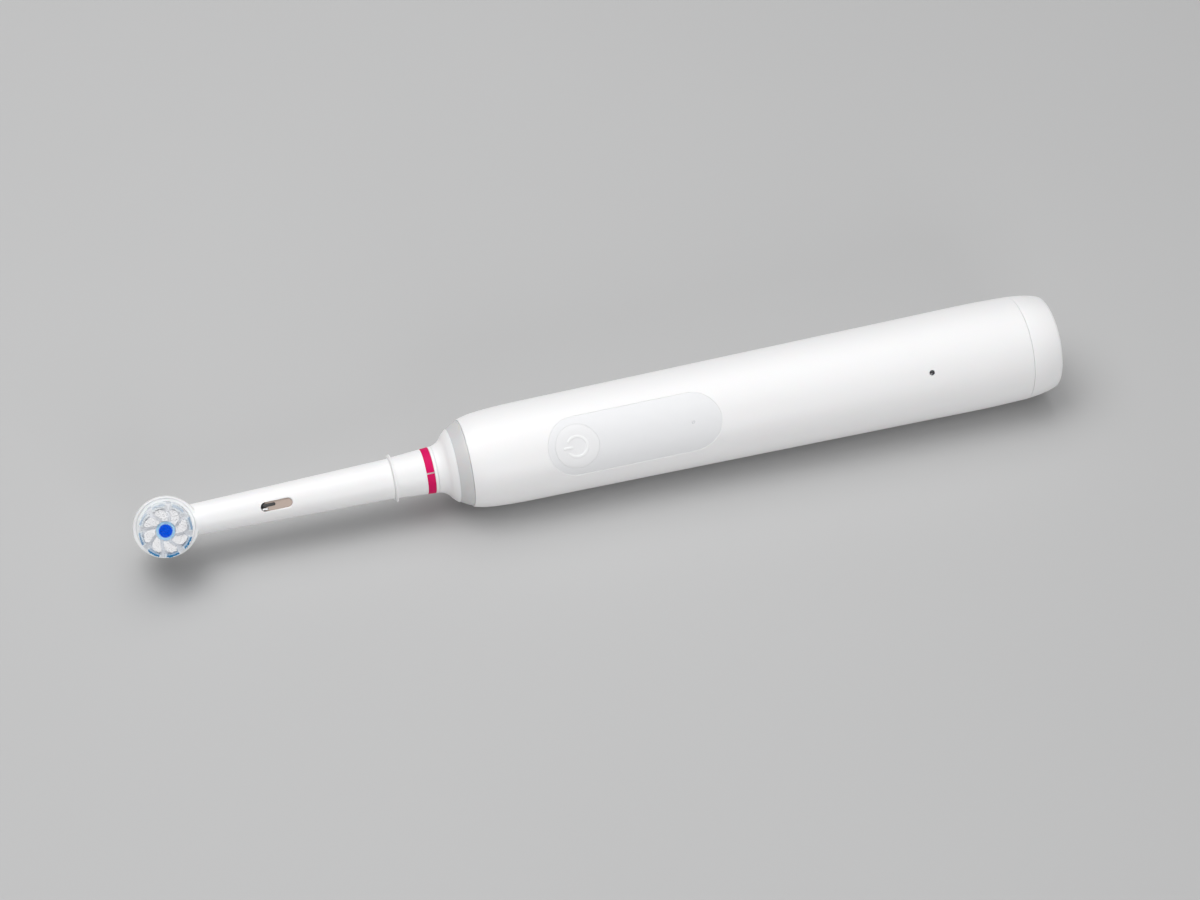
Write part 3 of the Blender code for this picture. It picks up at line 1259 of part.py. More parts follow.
def build_gears():
    """Motor pinion, and the crank gear with its flange and crank pin on a fixed axle."""
    pinion_end = CRANK_FLANGE_STATION - 2 * CLEARANCE
    pinion = prism("pinion", gear_outline(PINION_TEETH, math.pi), GEAR_STATION, pinion_end, "handle")
    place(pinion, BRONZE)
    bore = circle(MOTOR_SHAFT_RADIUS + CLEARANCE, PIN_SIDES)
    low, high = GEAR_STATION - OVERRUN, CRANK_FLANGE_STATION + OVERRUN
    cut(pinion, prism("pinion_bore_cut", bore, low, high, "handle"))

    half_tooth = math.pi / CRANK_TEETH
    teeth = gear_outline(CRANK_TEETH, half_tooth)
    gear = prism("crank_gear", teeth, GEAR_STATION, CRANK_FLANGE_STATION, "handle")
    centre = (0, 0, -GEAR_DISTANCE)
    place(gear, GEAR_WHITE, centre)
    flange_radius = CRANK_THROW + CRANK_PIN_RADIUS + CLEARANCE
    flange_low = CRANK_FLANGE_STATION - CLEARANCE
    flange_high = CRANK_FLANGE_STATION + CRANK_FLANGE_THICKNESS
    flange = prism("crank_flange", circle(flange_radius, SMALL_SIDES), flange_low, flange_high, "handle")
    join(gear, flange, centre)
    spot = circle(CRANK_PIN_RADIUS, PIN_SIDES, (0, -CRANK_THROW))
    pin = prism("crank_pin", spot, CRANK_FLANGE_STATION, CRANK_PIN_END_STATION, "handle")
    join(gear, pin, centre)
    axle_end = CRANK_FLANGE_STATION + CRANK_FLANGE_THICKNESS / 2
    hole = circle(AXLE_RADIUS + CLEARANCE, PIN_SIDES)
    cut(gear, prism("crank_bore_cut", hole, GEAR_STATION - OVERRUN, axle_end + CLEARANCE, "handle"), centre)

    axle = prism("gear_axle", circle(AXLE_RADIUS, PIN_SIDES), MOTOR_PLATE_STATION, axle_end, "handle")
    place(axle, STEEL, centre)


def build_drive_shaft():
    """Steel drive shaft with its flat, and the forked rocker on its rear end."""
    outline = [
        (ROCKER_STATION, 0),
        (ROCKER_STATION, SHAFT_RADIUS),
        (SHAFT_END_STATION, SHAFT_RADIUS),
        (SHAFT_END_STATION, 0),
    ]
    shaft = place(turned("drive_shaft", outline, PIN_SIDES), STEEL)
    step = SHAFT_RADIUS - SHAFT_FLAT_DEPTH
    above = rectangle(-SHAFT_RADIUS, SHAFT_RADIUS, step, SHAFT_RADIUS + OVERRUN)
    flat_rear = SHAFT_END_STATION - SHAFT_FLAT_LENGTH
    cut(shaft, prism("shaft_flat_cut", above, flat_rear, SHAFT_END_STATION + OVERRUN, "handle"))

    hub = [
        (ROCKER_STATION, SHAFT_BORE_RADIUS),
        (ROCKER_STATION, ROCKER_HUB_RADIUS),
        (ROCKER_END_STATION, ROCKER_HUB_RADIUS),
        (ROCKER_END_STATION, SHAFT_BORE_RADIUS),
    ]
    rocker = place(turned("rocker_arm", hub, SMALL_SIDES), DARK_STEEL)
    tip = -(GEAR_DISTANCE + CRANK_THROW + ROCKER_TIP_MARGIN)
    slot = CRANK_PIN_RADIUS + CLEARANCE
    root = -(SHAFT_BORE_RADIUS + ROCKER_HUB_RADIUS) / 2
    half = ROCKER_WIDTH / 2
    fork = [
        (-half, root), (-half, tip), (-slot, tip), (-slot, -ROCKER_HUB_RADIUS),
        (slot, -ROCKER_HUB_RADIUS), (slot, tip), (half, tip), (half, root),
    ]
    join(rocker, prism("rocker_fork", fork, ROCKER_STATION, ROCKER_END_STATION, "handle"))


def lay_down():
    """Turn the brush on its side, tip it onto its underside and centre it over the origin."""
    flat = math.cos(math.pi / BODY_SIDES)
    run = SHOULDER_STATION - REAR_STATION
    tip = math.atan2((REAR_RADIUS - FRONT_RADIUS) * flat, run)
    CARRIER.rotation_mode = "XYZ"
    CARRIER.rotation_euler = (LYING_ROLL, -tip, 0)
    bpy.context.view_layer.update()
    depsgraph = bpy.context.evaluated_depsgraph_get()
    low = mathutils.Vector((math.inf, math.inf, math.inf))
    high = -low
    for piece in bpy.context.collection.objects:
        if piece.type == "EMPTY" or piece.hide_render:
            continue
        whole = piece.evaluated_get(depsgraph)
        mesh = whole.to_mesh()
        for vertex in mesh.vertices:
            point = whole.matrix_world @ vertex.co
            for axis in range(3):
                low[axis] = min(low[axis], point[axis])
                high[axis] = max(high[axis], point[axis])
        whole.to_mesh_clear()
    CARRIER.location = (-(low.x + high.x) / 2, -(low.y + high.y) / 2, -low.z)


for leftover in list(bpy.data.objects):
    bpy.data.objects.remove(leftover, do_unlink=True)
CARRIER = bpy.data.objects.new("lying_place", None)
bpy.context.collection.objects.link(CARRIER)

build_brush_tube()
build_refill_base()
build_colour_ring()
build_head_pin()
build_bristle_carrier()
build_tufts()
build_rod_and_coupling()
build_housing()
build_front_panel()
build_button()
build_rear_grip()
build_lenses()
build_light_ring()
build_nose()
build_bearings_and_seal()
build_base_cap()
build_charging_coil()
build_battery()
build_chassis()
build_board()
build_motor()
build_motor_screws()
build_gears()
build_drive_shaft()
lay_down()
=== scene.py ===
"""The looks of an electric toothbrush that lies on a grey table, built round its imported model.

Sizes are in millimetres in the brush's own frame. A station is a distance from the base face along the
handle towards the brush head, the side direction runs across it, and the front direction points where the
button and the bristles look. BrushFrame turns these into metres in the part's frame.
"""

import json
import logging
import math
from dataclasses import dataclass, field
from enum import Enum
from typing import Callable

import bmesh
import bpy
import numpy as np
from mathutils import Matrix, Vector

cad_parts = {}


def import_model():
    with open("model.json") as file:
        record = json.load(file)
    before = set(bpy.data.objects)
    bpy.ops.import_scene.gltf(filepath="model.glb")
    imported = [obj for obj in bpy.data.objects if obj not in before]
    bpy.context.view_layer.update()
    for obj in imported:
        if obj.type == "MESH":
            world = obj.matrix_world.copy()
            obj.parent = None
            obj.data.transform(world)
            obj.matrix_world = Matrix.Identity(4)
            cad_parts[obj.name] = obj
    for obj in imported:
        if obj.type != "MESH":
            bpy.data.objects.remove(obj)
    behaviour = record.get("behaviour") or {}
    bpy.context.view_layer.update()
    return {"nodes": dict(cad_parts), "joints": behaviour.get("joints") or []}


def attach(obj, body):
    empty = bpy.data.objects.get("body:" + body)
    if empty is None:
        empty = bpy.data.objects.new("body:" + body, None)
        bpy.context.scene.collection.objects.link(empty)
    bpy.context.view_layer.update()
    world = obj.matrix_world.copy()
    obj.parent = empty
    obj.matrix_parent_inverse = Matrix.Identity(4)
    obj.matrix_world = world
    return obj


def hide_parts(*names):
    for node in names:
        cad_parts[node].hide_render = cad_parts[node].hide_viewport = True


MM = 0.001
FIT = 0.9985 * math.cos(math.pi / 36)  # keeps a round skin inside the flat sides of the solids
CLEARANCE = 0.3  # gap between neighbours that don't touch
SHARP_ANGLE = math.radians(32)
MERGE_DISTANCE = 1e-7  # metres
WELD_DISTANCE = 1e-6  # metres, after a cut
LOG = logging.getLogger("toothbrush")

Array = np.ndarray
Triple = tuple[float, float, float]
Outline = list[tuple[float, float]]


class Around(Enum):
    """The axis that a turned shape is turned about."""

    HANDLE = "handle"
    FRONT = "front"


class Side(Enum):
    """The line of the handle on which an inlay lies, by its angle from the front line."""

    FRONT = 0.0
    BACK = math.pi


@dataclass(frozen=True)
class BrushFrame:
    """Where the brush lies."""

    head: Array  # centre of the brush head in metres
    to_base: Array  # direction along the handle from the head to the base
    front: Array  # direction in which button and bristles look
    head_station: float = 228.9

    @classmethod
    def from_joints(cls, joints: list[dict]) -> "BrushFrame":
        """The frame whose head and directions the rocking joints give.

        Args:
            joints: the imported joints.

        Returns:
            The brush's frame.
        """
        named = {joint["name"]: joint for joint in joints}
        head = np.array(named["brush_rock"]["pos_m"], float)
        to_base = np.array(named["shaft_rock"]["axis"], float)
        front = np.array(named["brush_rock"]["axis"], float)
        to_base /= np.linalg.norm(to_base)
        front -= to_base * (front @ to_base)
        return cls(head, to_base, front / np.linalg.norm(front))

    @property
    def side(self) -> Array:
        """Direction across the handle: front cross the direction to the base."""
        return np.cross(self.front, self.to_base)

    def world(self, stations: Array, sides: Array, fronts: Array) -> Array:
        """Points in metres from their three distances in millimetres.

        Args:
            stations: distances from the base face.
            sides: distances across the handle.
            fronts: heights in front of the handle's axis.

        Returns:
            One row of x, y and z for each point.
        """
        along = (self.head_station - stations)[:, None] * self.to_base
        return self.head + MM * (along + sides[:, None] * self.side + fronts[:, None] * self.front)

    def pattern_turn(self) -> Triple:
        """Turn that lays a pattern's x along the handle and its z along the front direction."""
        return tuple(Matrix([self.to_base, self.side, self.front]).to_euler("XYZ"))


@dataclass(frozen=True)
class Finish:
    """A procedural finish: a base colour with slight mottling, and a fine grain in roughness and relief."""

    name: str
    colour: Triple  # linear red, green and blue
    roughness: float = 0.4
    metallic: float = 0.0
    mottle: float = 0.02  # how far the colour strays to each side, as a share of it
    rough_spread: float = 0.05  # how far the roughness strays to each side
    grain: float = 0.25  # size of the grain
    relief: float = 0.03  # strength of the grain's relief
    coat: float = 0.0  # weight of the clear gloss on top
    subsurface: float = 0.0  # share of light that goes below the surface
    mark: Triple | None = None  # colour where the piece's own attribute named mark is 1
    brushed: float = 1.0  # how many times longer the grain is along the handle than across it
    gloss: float = 0.5  # strength of the mirror reflection

    def shade(self, share: float) -> tuple[float, ...]:
        """The colour made lighter by a share of it, or darker by a negative share."""
        return (*(min(1.0, max(0.0, value * (1 + share))) for value in self.colour), 1.0)


WHITE_GLOSS = Finish(
    "white_gloss", (0.905, 0.90, 0.902), 0.40, mottle=0.006, grain=0.6, relief=0.010, coat=0.03,
    subsurface=0.04, gloss=0.3,
)
# a lighter white than the shell's: the carrier's own white plus painted light against the bristles' shade
CARRIER_WHITE_WITH_PAINTED_LIGHT = Finish("white_satin", (0.95, 0.95, 0.95), 0.46, mottle=0.01, grain=0.3, subsurface=0.05)
SOFT_GREY = Finish("soft_grey", (0.835, 0.838, 0.850), 0.55, mottle=0.012, grain=0.12, relief=0.09)
BUTTON_GREY = Finish(
    "button_grey", (0.86, 0.86, 0.868), 0.50, mottle=0.012, grain=0.12, relief=0.06,
    mark=(0.93, 0.93, 0.935),
)
RING_GREY = Finish(
    "ring_grey", (0.64, 0.635, 0.64), 0.38, grain=0.5, relief=0.02, coat=0.05, subsurface=0.25
)
MAGENTA = Finish("magenta", (0.67, 0.006, 0.115), 0.50, mottle=0.03, grain=0.3, gloss=0.1)
CENTRE_BLUE = Finish(
    "centre_blue", (0.45, 0.72, 0.95), 0.50, mottle=0.05, grain=0.4, relief=0.0, mark=(0.0, 0.100, 0.86),
    gloss=0.02,
)
# white tips as the mark, on a grey base that is painted shade at the roots and in the lower bristles between
# the petals
PETAL_WHITE_AND_SHADE = Finish("petal_white", (0.70, 0.73, 0.78), 0.50, grain=0.4, relief=0.0, mark=(0.985, 0.985, 1.0))
# the mark is the tips' own blue, which the arcs deepen lower down and at their outer edge as painted shade
RIM_BLUE = Finish(
    "rim_blue", (0.93, 0.96, 0.98), 0.45, mottle=0.03, grain=0.4, relief=0.0, mark=(0.0, 0.20, 0.46),
    gloss=0.2,
)
TAN = Finish("tan_insert", (0.50, 0.40, 0.345), 0.50, mottle=0.04)
STEEL = Finish(
    "steel", (0.56, 0.56, 0.57), 0.26, 1.0, mottle=0.05, rough_spread=0.1, grain=0.10, relief=0.05,
    brushed=14.0,
)
DARK_STEEL = Finish(
    "dark_steel", (0.17, 0.17, 0.18), 0.36, 1.0, mottle=0.08, rough_spread=0.1, grain=0.15, relief=0.06
)
BRONZE = Finish(
    "sintered_bronze", (0.50, 0.33, 0.15), 0.48, 1.0, mottle=0.16, rough_spread=0.15, grain=0.16, relief=0.16
)
COPPER = Finish("enamelled_copper", (0.66, 0.26, 0.10), 0.28, 1.0, mottle=0.08, grain=0.2, coat=0.5)
BLACK_RUBBER = Finish("black_rubber", (0.018, 0.018, 0.019), 0.66, mottle=0.10, grain=0.14, relief=0.08)
DARK_PLASTIC = Finish("dark_plastic", (0.035, 0.035, 0.038), 0.45, mottle=0.06, grain=0.2, relief=0.05)
BOARD_GREEN = Finish(
    "solder_mask", (0.012, 0.115, 0.045), 0.30, mottle=0.12, grain=0.8, relief=0.02, coat=0.4
)
CELL_WRAP = Finish("shrink_film", (0.03, 0.15, 0.30), 0.24, mottle=0.04, grain=0.9, coat=0.5)
CHASSIS_BLUE = Finish("chassis_plastic", (0.20, 0.29, 0.41), 0.44, mottle=0.03, grain=0.22, relief=0.05)
ACETAL = Finish("acetal", (0.76, 0.75, 0.69), 0.38, subsurface=0.12)
SMOKED_LENS = Finish("smoked_lens", (0.045, 0.045, 0.05), 0.14, mottle=0.04, grain=0.3, relief=0.0, coat=0.6)
PALE_LENS = Finish("pale_lens", (0.77, 0.77, 0.79), 0.30, mottle=0.03, grain=0.3, relief=0.0)
FERRITE = Finish("ferrite", (0.09, 0.09, 0.10), 0.58, mottle=0.14, grain=0.16, relief=0.12)
DIODE = Finish("diode", (0.74, 0.72, 0.55), 0.22, mottle=0.03, grain=0.3, relief=0.0, coat=0.3)


@dataclass(frozen=True)
class NodeTree:
    """A node tree, with a short way to fill it."""

    tree: bpy.types.NodeTree

    def fill(self, node: bpy.types.Node, values: dict[str, object]) -> bpy.types.Node:
        """Sets a node's inputs by name, and joins those that are given another node's output.

        Args:
            node: the node.
            values: for each input a number, a colour or an output.

        Returns:
            The same node.
        """
        for name, value in values.items():
            if isinstance(value, bpy.types.NodeSocket):
                self.tree.links.new(value, node.inputs[name])
            else:
                node.inputs[name].default_value = value
        return node

    def add(self, kind: str, values: dict[str, object]) -> bpy.types.Node:
        """Adds a node of a kind, with its inputs filled."""
        return self.fill(self.tree.nodes.new("ShaderNode" + kind), values)

    def mixed(self, share: bpy.types.NodeSocket, first: object, second: object) -> bpy.types.NodeSocket:
        """The colour between two colours.

        Args:
            share: how much of the second colour there is.
            first: a colour or a colour output.
            second: another colour.

        Returns:
            The mixed colour's output.
        """
        mix = self.tree.nodes.new("ShaderNodeMix")
        mix.data_type = "RGBA"
        return self.fill(mix, {"Factor": share, "A": first, "B": second}).outputs["Result"]

    def noise(self, place: bpy.types.NodeSocket, scale: float, detail: float) -> bpy.types.NodeSocket:
        """Noise at a place, with spots about one over the scale wide, in metres."""
        return self.add("TexNoise", {"Vector": place, "Scale": scale, "Detail": detail}).outputs["Fac"]

    def object_place(self) -> bpy.types.NodeSocket:
        """The place in the object's own coordinates."""
        return self.add("TexCoord", {}).outputs["Object"]


@dataclass
class Paintbox:
    """Makes each finish's material once, with its patterns laid along the brush."""

    turn: Triple  # Euler turn that lays a pattern along the handle
    broad: float = 24.0  # how many times wider the mottling is than the grain
    coat_roughness: float = 0.12
    scatter: float = 1.2  # how deep light goes below the surface
    made: dict[str, bpy.types.Material] = field(default_factory=dict)

    def material(self, finish: Finish) -> bpy.types.Material:
        """The material of a finish.

        Args:
            finish: what the surface looks like.

        Returns:
            The Blender material, the same one for the same finish.
        """
        if finish.name not in self.made:
            self.made[finish.name] = self._build(finish)
        return self.made[finish.name]

    def _build(self, finish: Finish) -> bpy.types.Material:
        """Noise on Object coordinates, mixed into colour and roughness and raised as relief.

        Args:
            finish: what the surface looks like.

        Returns:
            The new material.
        """
        material = bpy.data.materials.new(finish.name)
        material.use_nodes = True
        nodes = NodeTree(material.node_tree)
        laid = {"Vector": nodes.object_place(), "Rotation": self.turn, "Scale": (1 / finish.brushed, 1, 1)}
        place = nodes.add("Mapping", laid).outputs["Vector"]
        fine, broad = (nodes.noise(place, 1 / (finish.grain * times * MM), 3) for times in (1, self.broad))
        colour = nodes.mixed(broad, finish.shade(-finish.mottle), finish.shade(finish.mottle))
        if finish.mark:
            mark = nodes.add("Attribute", {})
            mark.attribute_name = "mark"
            colour = nodes.mixed(mark.outputs["Fac"], colour, (*finish.mark, 1))
        low, high = finish.roughness - finish.rough_spread, finish.roughness + finish.rough_spread
        spread = nodes.add("MapRange", {"Value": broad, "To Min": max(0.02, low), "To Max": min(1.0, high)})
        look = {
            "Base Color": colour, "Roughness": spread.outputs["Result"], "Metallic": finish.metallic,
            "Specular IOR Level": finish.gloss, "Coat Weight": finish.coat,
            "Coat Roughness": self.coat_roughness, "Subsurface Weight": finish.subsurface,
            "Subsurface Scale": self.scatter * MM,
        }
        if finish.relief:
            relief = {"Strength": finish.relief, "Distance": finish.grain * MM, "Height": fine}
            look["Normal"] = nodes.add("Bump", relief).outputs["Normal"]
        nodes.fill(material.node_tree.nodes["Principled BSDF"], look)
        return material


def arc_between(first: Array, corner: Array, last: Array, radius: float, steps: int) -> Array:
    """Points of the arc that rounds a corner: it touches both legs at the same distance from the corner.

    Args:
        first: point before the corner.
        corner: the sharp corner.
        last: point after the corner.
        radius: radius of the arc, shortened where a leg is too short for it.
        steps: number of stretches in the arc.

    Returns:
        The arc's points, or the corner alone where the outline runs straight on.
    """
    back, ahead = first - corner, last - corner
    back_length, ahead_length = np.linalg.norm(back), np.linalg.norm(ahead)
    back, ahead = back / back_length, ahead / ahead_length
    half = math.acos(float(np.clip(back @ ahead, -1, 1))) / 2
    if radius <= 0 or not math.radians(2) <= half <= math.radians(86):
        return corner[None, :]
    setback = min(radius / math.tan(half), 0.45 * back_length, 0.45 * ahead_length)
    radius = setback * math.tan(half)
    middle = corner + (back + ahead) / np.linalg.norm(back + ahead) * radius / math.sin(half)
    start = corner + back * setback - middle
    end = corner + ahead * setback - middle
    angles = np.linspace(0, math.atan2(start[0] * end[1] - start[1] * end[0], start @ end), steps + 1)
    cosines, sines = np.cos(angles), np.sin(angles)
    arc = [start[0] * cosines - start[1] * sines, start[0] * sines + start[1] * cosines]
    return middle + np.stack(arc, axis=1)


def rounded(outline: Outline, radius: float, steps: int, closed: bool = True) -> Array:
    """An outline whose corners are rounded with one radius.

    Args:
        outline: points of (place along the axis, radius).
        radius: radius of the corners.
        steps: stretches in each corner's arc.
        closed: whether the last point joins the first.

    Returns:
        The finer outline. Points on the axis, and the ends of an open outline, stay as they are.
    """
    points = np.array(outline, float)
    count = len(points)
    parts = []
    for index, corner in enumerate(points):
        if corner[1] == 0 or not closed and index in (0, count - 1):
            parts.append(corner[None, :])
        else:
            parts.append(arc_between(points[index - 1], corner, points[(index + 1) % count], radius, steps))
    return np.concatenate(parts)


def softened(points: Array, rounds: int) -> Array:
    """An open outline with its corners cut again and again, so that it nears a smooth curve.

    Each round puts points at a quarter and at three quarters of every stretch, and keeps both ends.

    Args:
        points: the outline.
        rounds: number of rounds.

    Returns:
        The smoother outline.
    """
    for _ in range(rounds):
        near = points[:-1] * 0.75 + points[1:] * 0.25
        far = points[:-1] * 0.25 + points[1:] * 0.75
        between = np.stack([near, far], axis=1).reshape(-1, points.shape[1])
        points = np.concatenate([points[:1], between[1:-1], points[-1:]])
    return points


def resampled(points: Array, spacing: float) -> Array:
    """An outline with extra points wherever two are too far apart.

    Args:
        points: the outline.
        spacing: greatest distance between neighbours.

    Returns:
        The finer outline.
    """
    counts = np.ceil(np.linalg.norm(np.diff(points, axis=0), axis=1) / spacing).astype(int)
    parts = [
        first + (last - first) * np.arange(count)[:, None] / count
        for first, last, count in zip(points, points[1:], np.maximum(counts, 1))
    ]
    return np.concatenate([*parts, points[-1:]])


def smooth_step(low: float, high: float, values: Array) -> Array:
    """0 at low and 1 at high, with the even curve 3t squared less 2t cubed between."""
    share = np.clip((values - low) / (high - low), 0, 1)
    return share * share * (3 - 2 * share)


def quarter(radius: float, steps: int = 4) -> Outline:
    """Distance from the edge and depth of the points of a rounded edge, from its flat top to its wall."""
    angles = np.linspace(0, math.pi / 2, steps + 1)
    return [(radius * (1 - math.sin(angle)), radius * (1 - math.cos(angle))) for angle in angles]


def turned(outline: Array, angles: Array) -> Array:
    """Grid of points of an outline of stations and radii, carried round the handle's axis to some angles."""
    radius = outline[:, 1:]
    return np.stack([outline[:, :1] + 0 * angles, radius * np.sin(angles), radius * np.cos(angles)], axis=-1)


def full_turn(count: int) -> Array:
    """Even angles round a full turn."""
    return np.arange(count) * math.tau / count


def grid_faces(rows: int, columns: int, close_rows: bool = False, close_columns: bool = False) -> Array:
    """Quads between the neighbouring points of a grid.

    Args:
        rows: number of rows.
        columns: number of columns.
        close_rows: whether the last row joins the first.
        close_columns: whether the last column joins the first.

    Returns:
        Four point numbers for each quad, counted row by row.
    """
    row = np.arange(rows if close_rows else rows - 1)
    column = np.arange(columns if close_columns else columns - 1)
    row, column = (values.ravel() for values in np.meshgrid(row, column, indexing="ij"))
    next_row, next_column = (row + 1) % rows, (column + 1) % columns
    corners = [row * columns + column, row * columns + next_column]
    corners += [next_row * columns + next_column, next_row * columns + column]
    return np.stack(corners, axis=1)


@dataclass
class Sheet:
    """Points and quads that are gathered before they become one mesh."""

    points: list[Array] = field(default_factory=list)
    faces: list[Array] = field(default_factory=list)
    count: int = 0

    def add(self, points: Array, faces: Array) -> "Sheet":
        """Adds points and faces.

        Args:
            points: the points.
            faces: four point numbers for each face, counted from the first of these points.

        Returns:
            The same sheet.
        """
        self.points.append(points.reshape(-1, 3))
        self.faces.append(faces + self.count)
        self.count += len(self.points[-1])
        return self

    def grid(self, points: Array, close_rows: bool = False, close_columns: bool = False) -> "Sheet":
        """Adds a grid of points of shape rows, columns, 3."""
        return self.add(points, grid_faces(*points.shape[:2], close_rows, close_columns))


@dataclass
class Workshop:
    """Turns sheets into pieces, dresses them and hangs them on their bodies."""

    place: BrushFrame
    paints: Paintbox

    def mesh(
        self, name: str, sheet: Sheet, merge: bool = True, mark: Array | None = None
    ) -> bpy.types.Object:
        """Object whose mesh is a sheet's points and faces, in metres, smooth up to the sharp angle.

        Args:
            name: the piece's name.
            sheet: points in millimetres of the brush's frame and their faces.
            merge: whether points at one place become one, and the faces are turned outwards.
            mark: a share for each point, kept as the attribute named mark.

        Returns:
            The object, at the origin.
        """
        faces = np.concatenate(sheet.faces)
        world = self.place.world(*np.concatenate(sheet.points).T)
        data = bpy.data.meshes.new(name)
        data.vertices.add(len(world))
        data.vertices.foreach_set("co", world.astype(np.float32).ravel())
        data.loops.add(faces.size)
        data.loops.foreach_set("vertex_index", faces.astype(np.int32).ravel())
        data.polygons.add(len(faces))
        data.polygons.foreach_set("loop_start", np.arange(0, faces.size, faces.shape[1], dtype=np.int32))
        if mark is not None:
            data.attributes.new("mark", "FLOAT", "POINT").data.foreach_set("value", mark.astype(np.float32))
        data.update(calc_edges=True)
        if merge:
            welded(data, MERGE_DISTANCE, outwards=True)
        smoothed(data)
        piece = bpy.data.objects.new(name, data)
        bpy.context.scene.collection.objects.link(piece)
        return piece

    def lathe(
        self,
        name: str,
        outline: Array,
        sides: int,
        around: Around = Around.HANDLE,
        centre: Triple = (0.0, 0.0, 0.0),
        width: float = 1.0,
    ) -> bpy.types.Object:
        """A closed outline turned about an axis: each point runs round at its own radius.

        Args:
            name: the piece's name.
            outline: rows of place along the axis and radius. It is closed from its last point to its
                first, and one that starts and ends on the axis closes there.
            sides: number of steps round.
            around: the axis of turning.
            centre: station, side and front of the point that the outline counts from.
            width: stretch of the radius across the handle.

        Returns:
            The turned object.
        """
        points = turned(outline, full_turn(sides)) * (1, width, 1)
        if around is Around.FRONT:
            points = points[..., ::-1]
        on_axis = outline[0, 1] == 0 and outline[-1, 1] == 0
        return self.mesh(name, Sheet().grid(points + centre, close_rows=not on_axis, close_columns=True))

    def dress(self, piece: bpy.types.Object, finish: Finish, body: str, slot: str, *nodes: str) -> None:
        """Gives a piece its finish and its body, and lets it stand for CAD nodes.

        Args:
            piece: the finished object.
            finish: its look.
            body: the CAD body it moves with.
            slot: the record's material slot, which is not used.
            nodes: the CAD nodes that it stands for.
        """
        piece.data.materials.clear()
        piece.data.materials.append(self.paints.material(finish))
        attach(piece, body)
        if nodes:
            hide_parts(*nodes)
        LOG.info("%s: %d faces on %s", piece.name, len(piece.data.polygons), body)


def welded(data: bpy.types.Mesh, distance: float, outwards: bool = False) -> None:
    """Joins a mesh's points that lie close together.

    Args:
        data: the mesh.
        distance: how close they lie, in metres.
        outwards: whether the faces are turned outwards too.
    """
    build = bmesh.new()
    build.from_mesh(data)
    bmesh.ops.remove_doubles(build, verts=build.verts, dist=distance)
    bmesh.ops.dissolve_degenerate(build, dist=distance, edges=build.edges)
    if outwards:
        bmesh.ops.recalc_face_normals(build, faces=build.faces)
    build.to_mesh(data)
    build.free()


def smoothed(data: bpy.types.Mesh) -> None:
    """Shades a mesh smooth up to the sharp angle."""
    data.shade_smooth()
    data.set_sharp_from_angle(angle=SHARP_ANGLE)


def combine(piece: bpy.types.Object, tool: bpy.types.Object, operation: str) -> None:
    """Joins a tool to a piece or cuts it out for good, welds the seam, and removes the tool.

    Args:
        piece: the object that is changed.
        tool: the object that is joined or cut out.
        operation: UNION or DIFFERENCE.
    """
    modifier = piece.modifiers.new(tool.name, "BOOLEAN")
    modifier.operation = operation
    modifier.object = tool
    modifier.solver = "EXACT"
    result = bpy.data.meshes.new_from_object(piece.evaluated_get(bpy.context.evaluated_depsgraph_get()))
    welded(result, WELD_DISTANCE)
    piece.modifiers.clear()
    old, piece.data = piece.data, result
    result.name = piece.name
    bpy.data.meshes.remove(old)
    bpy.data.objects.remove(tool, do_unlink=True)


def soften_seam(piece: bpy.types.Object, near: Callable[[Vector], bool], rounds: int) -> None:
    """Turns a sharp seam into a fillet: points near it move to the mean of their neighbours, again and again.

    Args:
        piece: the object with the seam.
        near: says whether a point in metres lies near the seam.
        rounds: number of moves.
    """
    build = bmesh.new()
    build.from_mesh(piece.data)
    chosen = [vertex for vertex in build.verts if near(vertex.co)]
    axes = {"use_axis_x": True, "use_axis_y": True, "use_axis_z": True}
    for _ in range(rounds):
        bmesh.ops.smooth_vert(build, verts=chosen, factor=0.5, **axes)
    build.to_mesh(piece.data)
    build.free()


class SmoothCurve:
    """A curve through given points that never overshoots them.

    Each stretch is a cubic. Its slope at a point is the harmonic mean of the straight slopes before and
    after it, or zero where these have opposite signs.
    """

    def __init__(self, points: tuple[tuple[float, float], ...]) -> None:
        """Works out the slopes.

        Args:
            points: pairs of place and value, in order of place.
        """
        self.places, self.values = np.array(points, float).T
        straight = np.diff(self.values) / np.diff(self.places)
        before, after = straight[:-1], straight[1:]
        total = np.where(before * after > 0, before + after, 1)
        inner = np.where(before * after > 0, 2 * before * after / total, 0)
        self.slopes = np.concatenate([straight[:1], inner, straight[-1:]])

    def __call__(self, places: Array | float) -> Array:
        """Values of the curve, from the values and slopes at both ends of a stretch.

        Args:
            places: where the values are wanted.

        Returns:
            The value at each place.
        """
        places = np.asarray(places, float)
        index = np.clip(np.searchsorted(self.places, places) - 1, 0, len(self.places) - 2)
        width = self.places[index + 1] - self.places[index]
        share = np.clip((places - self.places[index]) / width, 0, 1)
        near, far = self.values[index], self.values[index + 1]
        near_slope, far_slope = self.slopes[index] * width, self.slopes[index + 1] * width
        rest = 1 - share
        ends = near * (1 + 2 * share) * rest**2 + far * (3 - 2 * share) * share**2
        return ends + near_slope * share * rest**2 - far_slope * rest * share**2


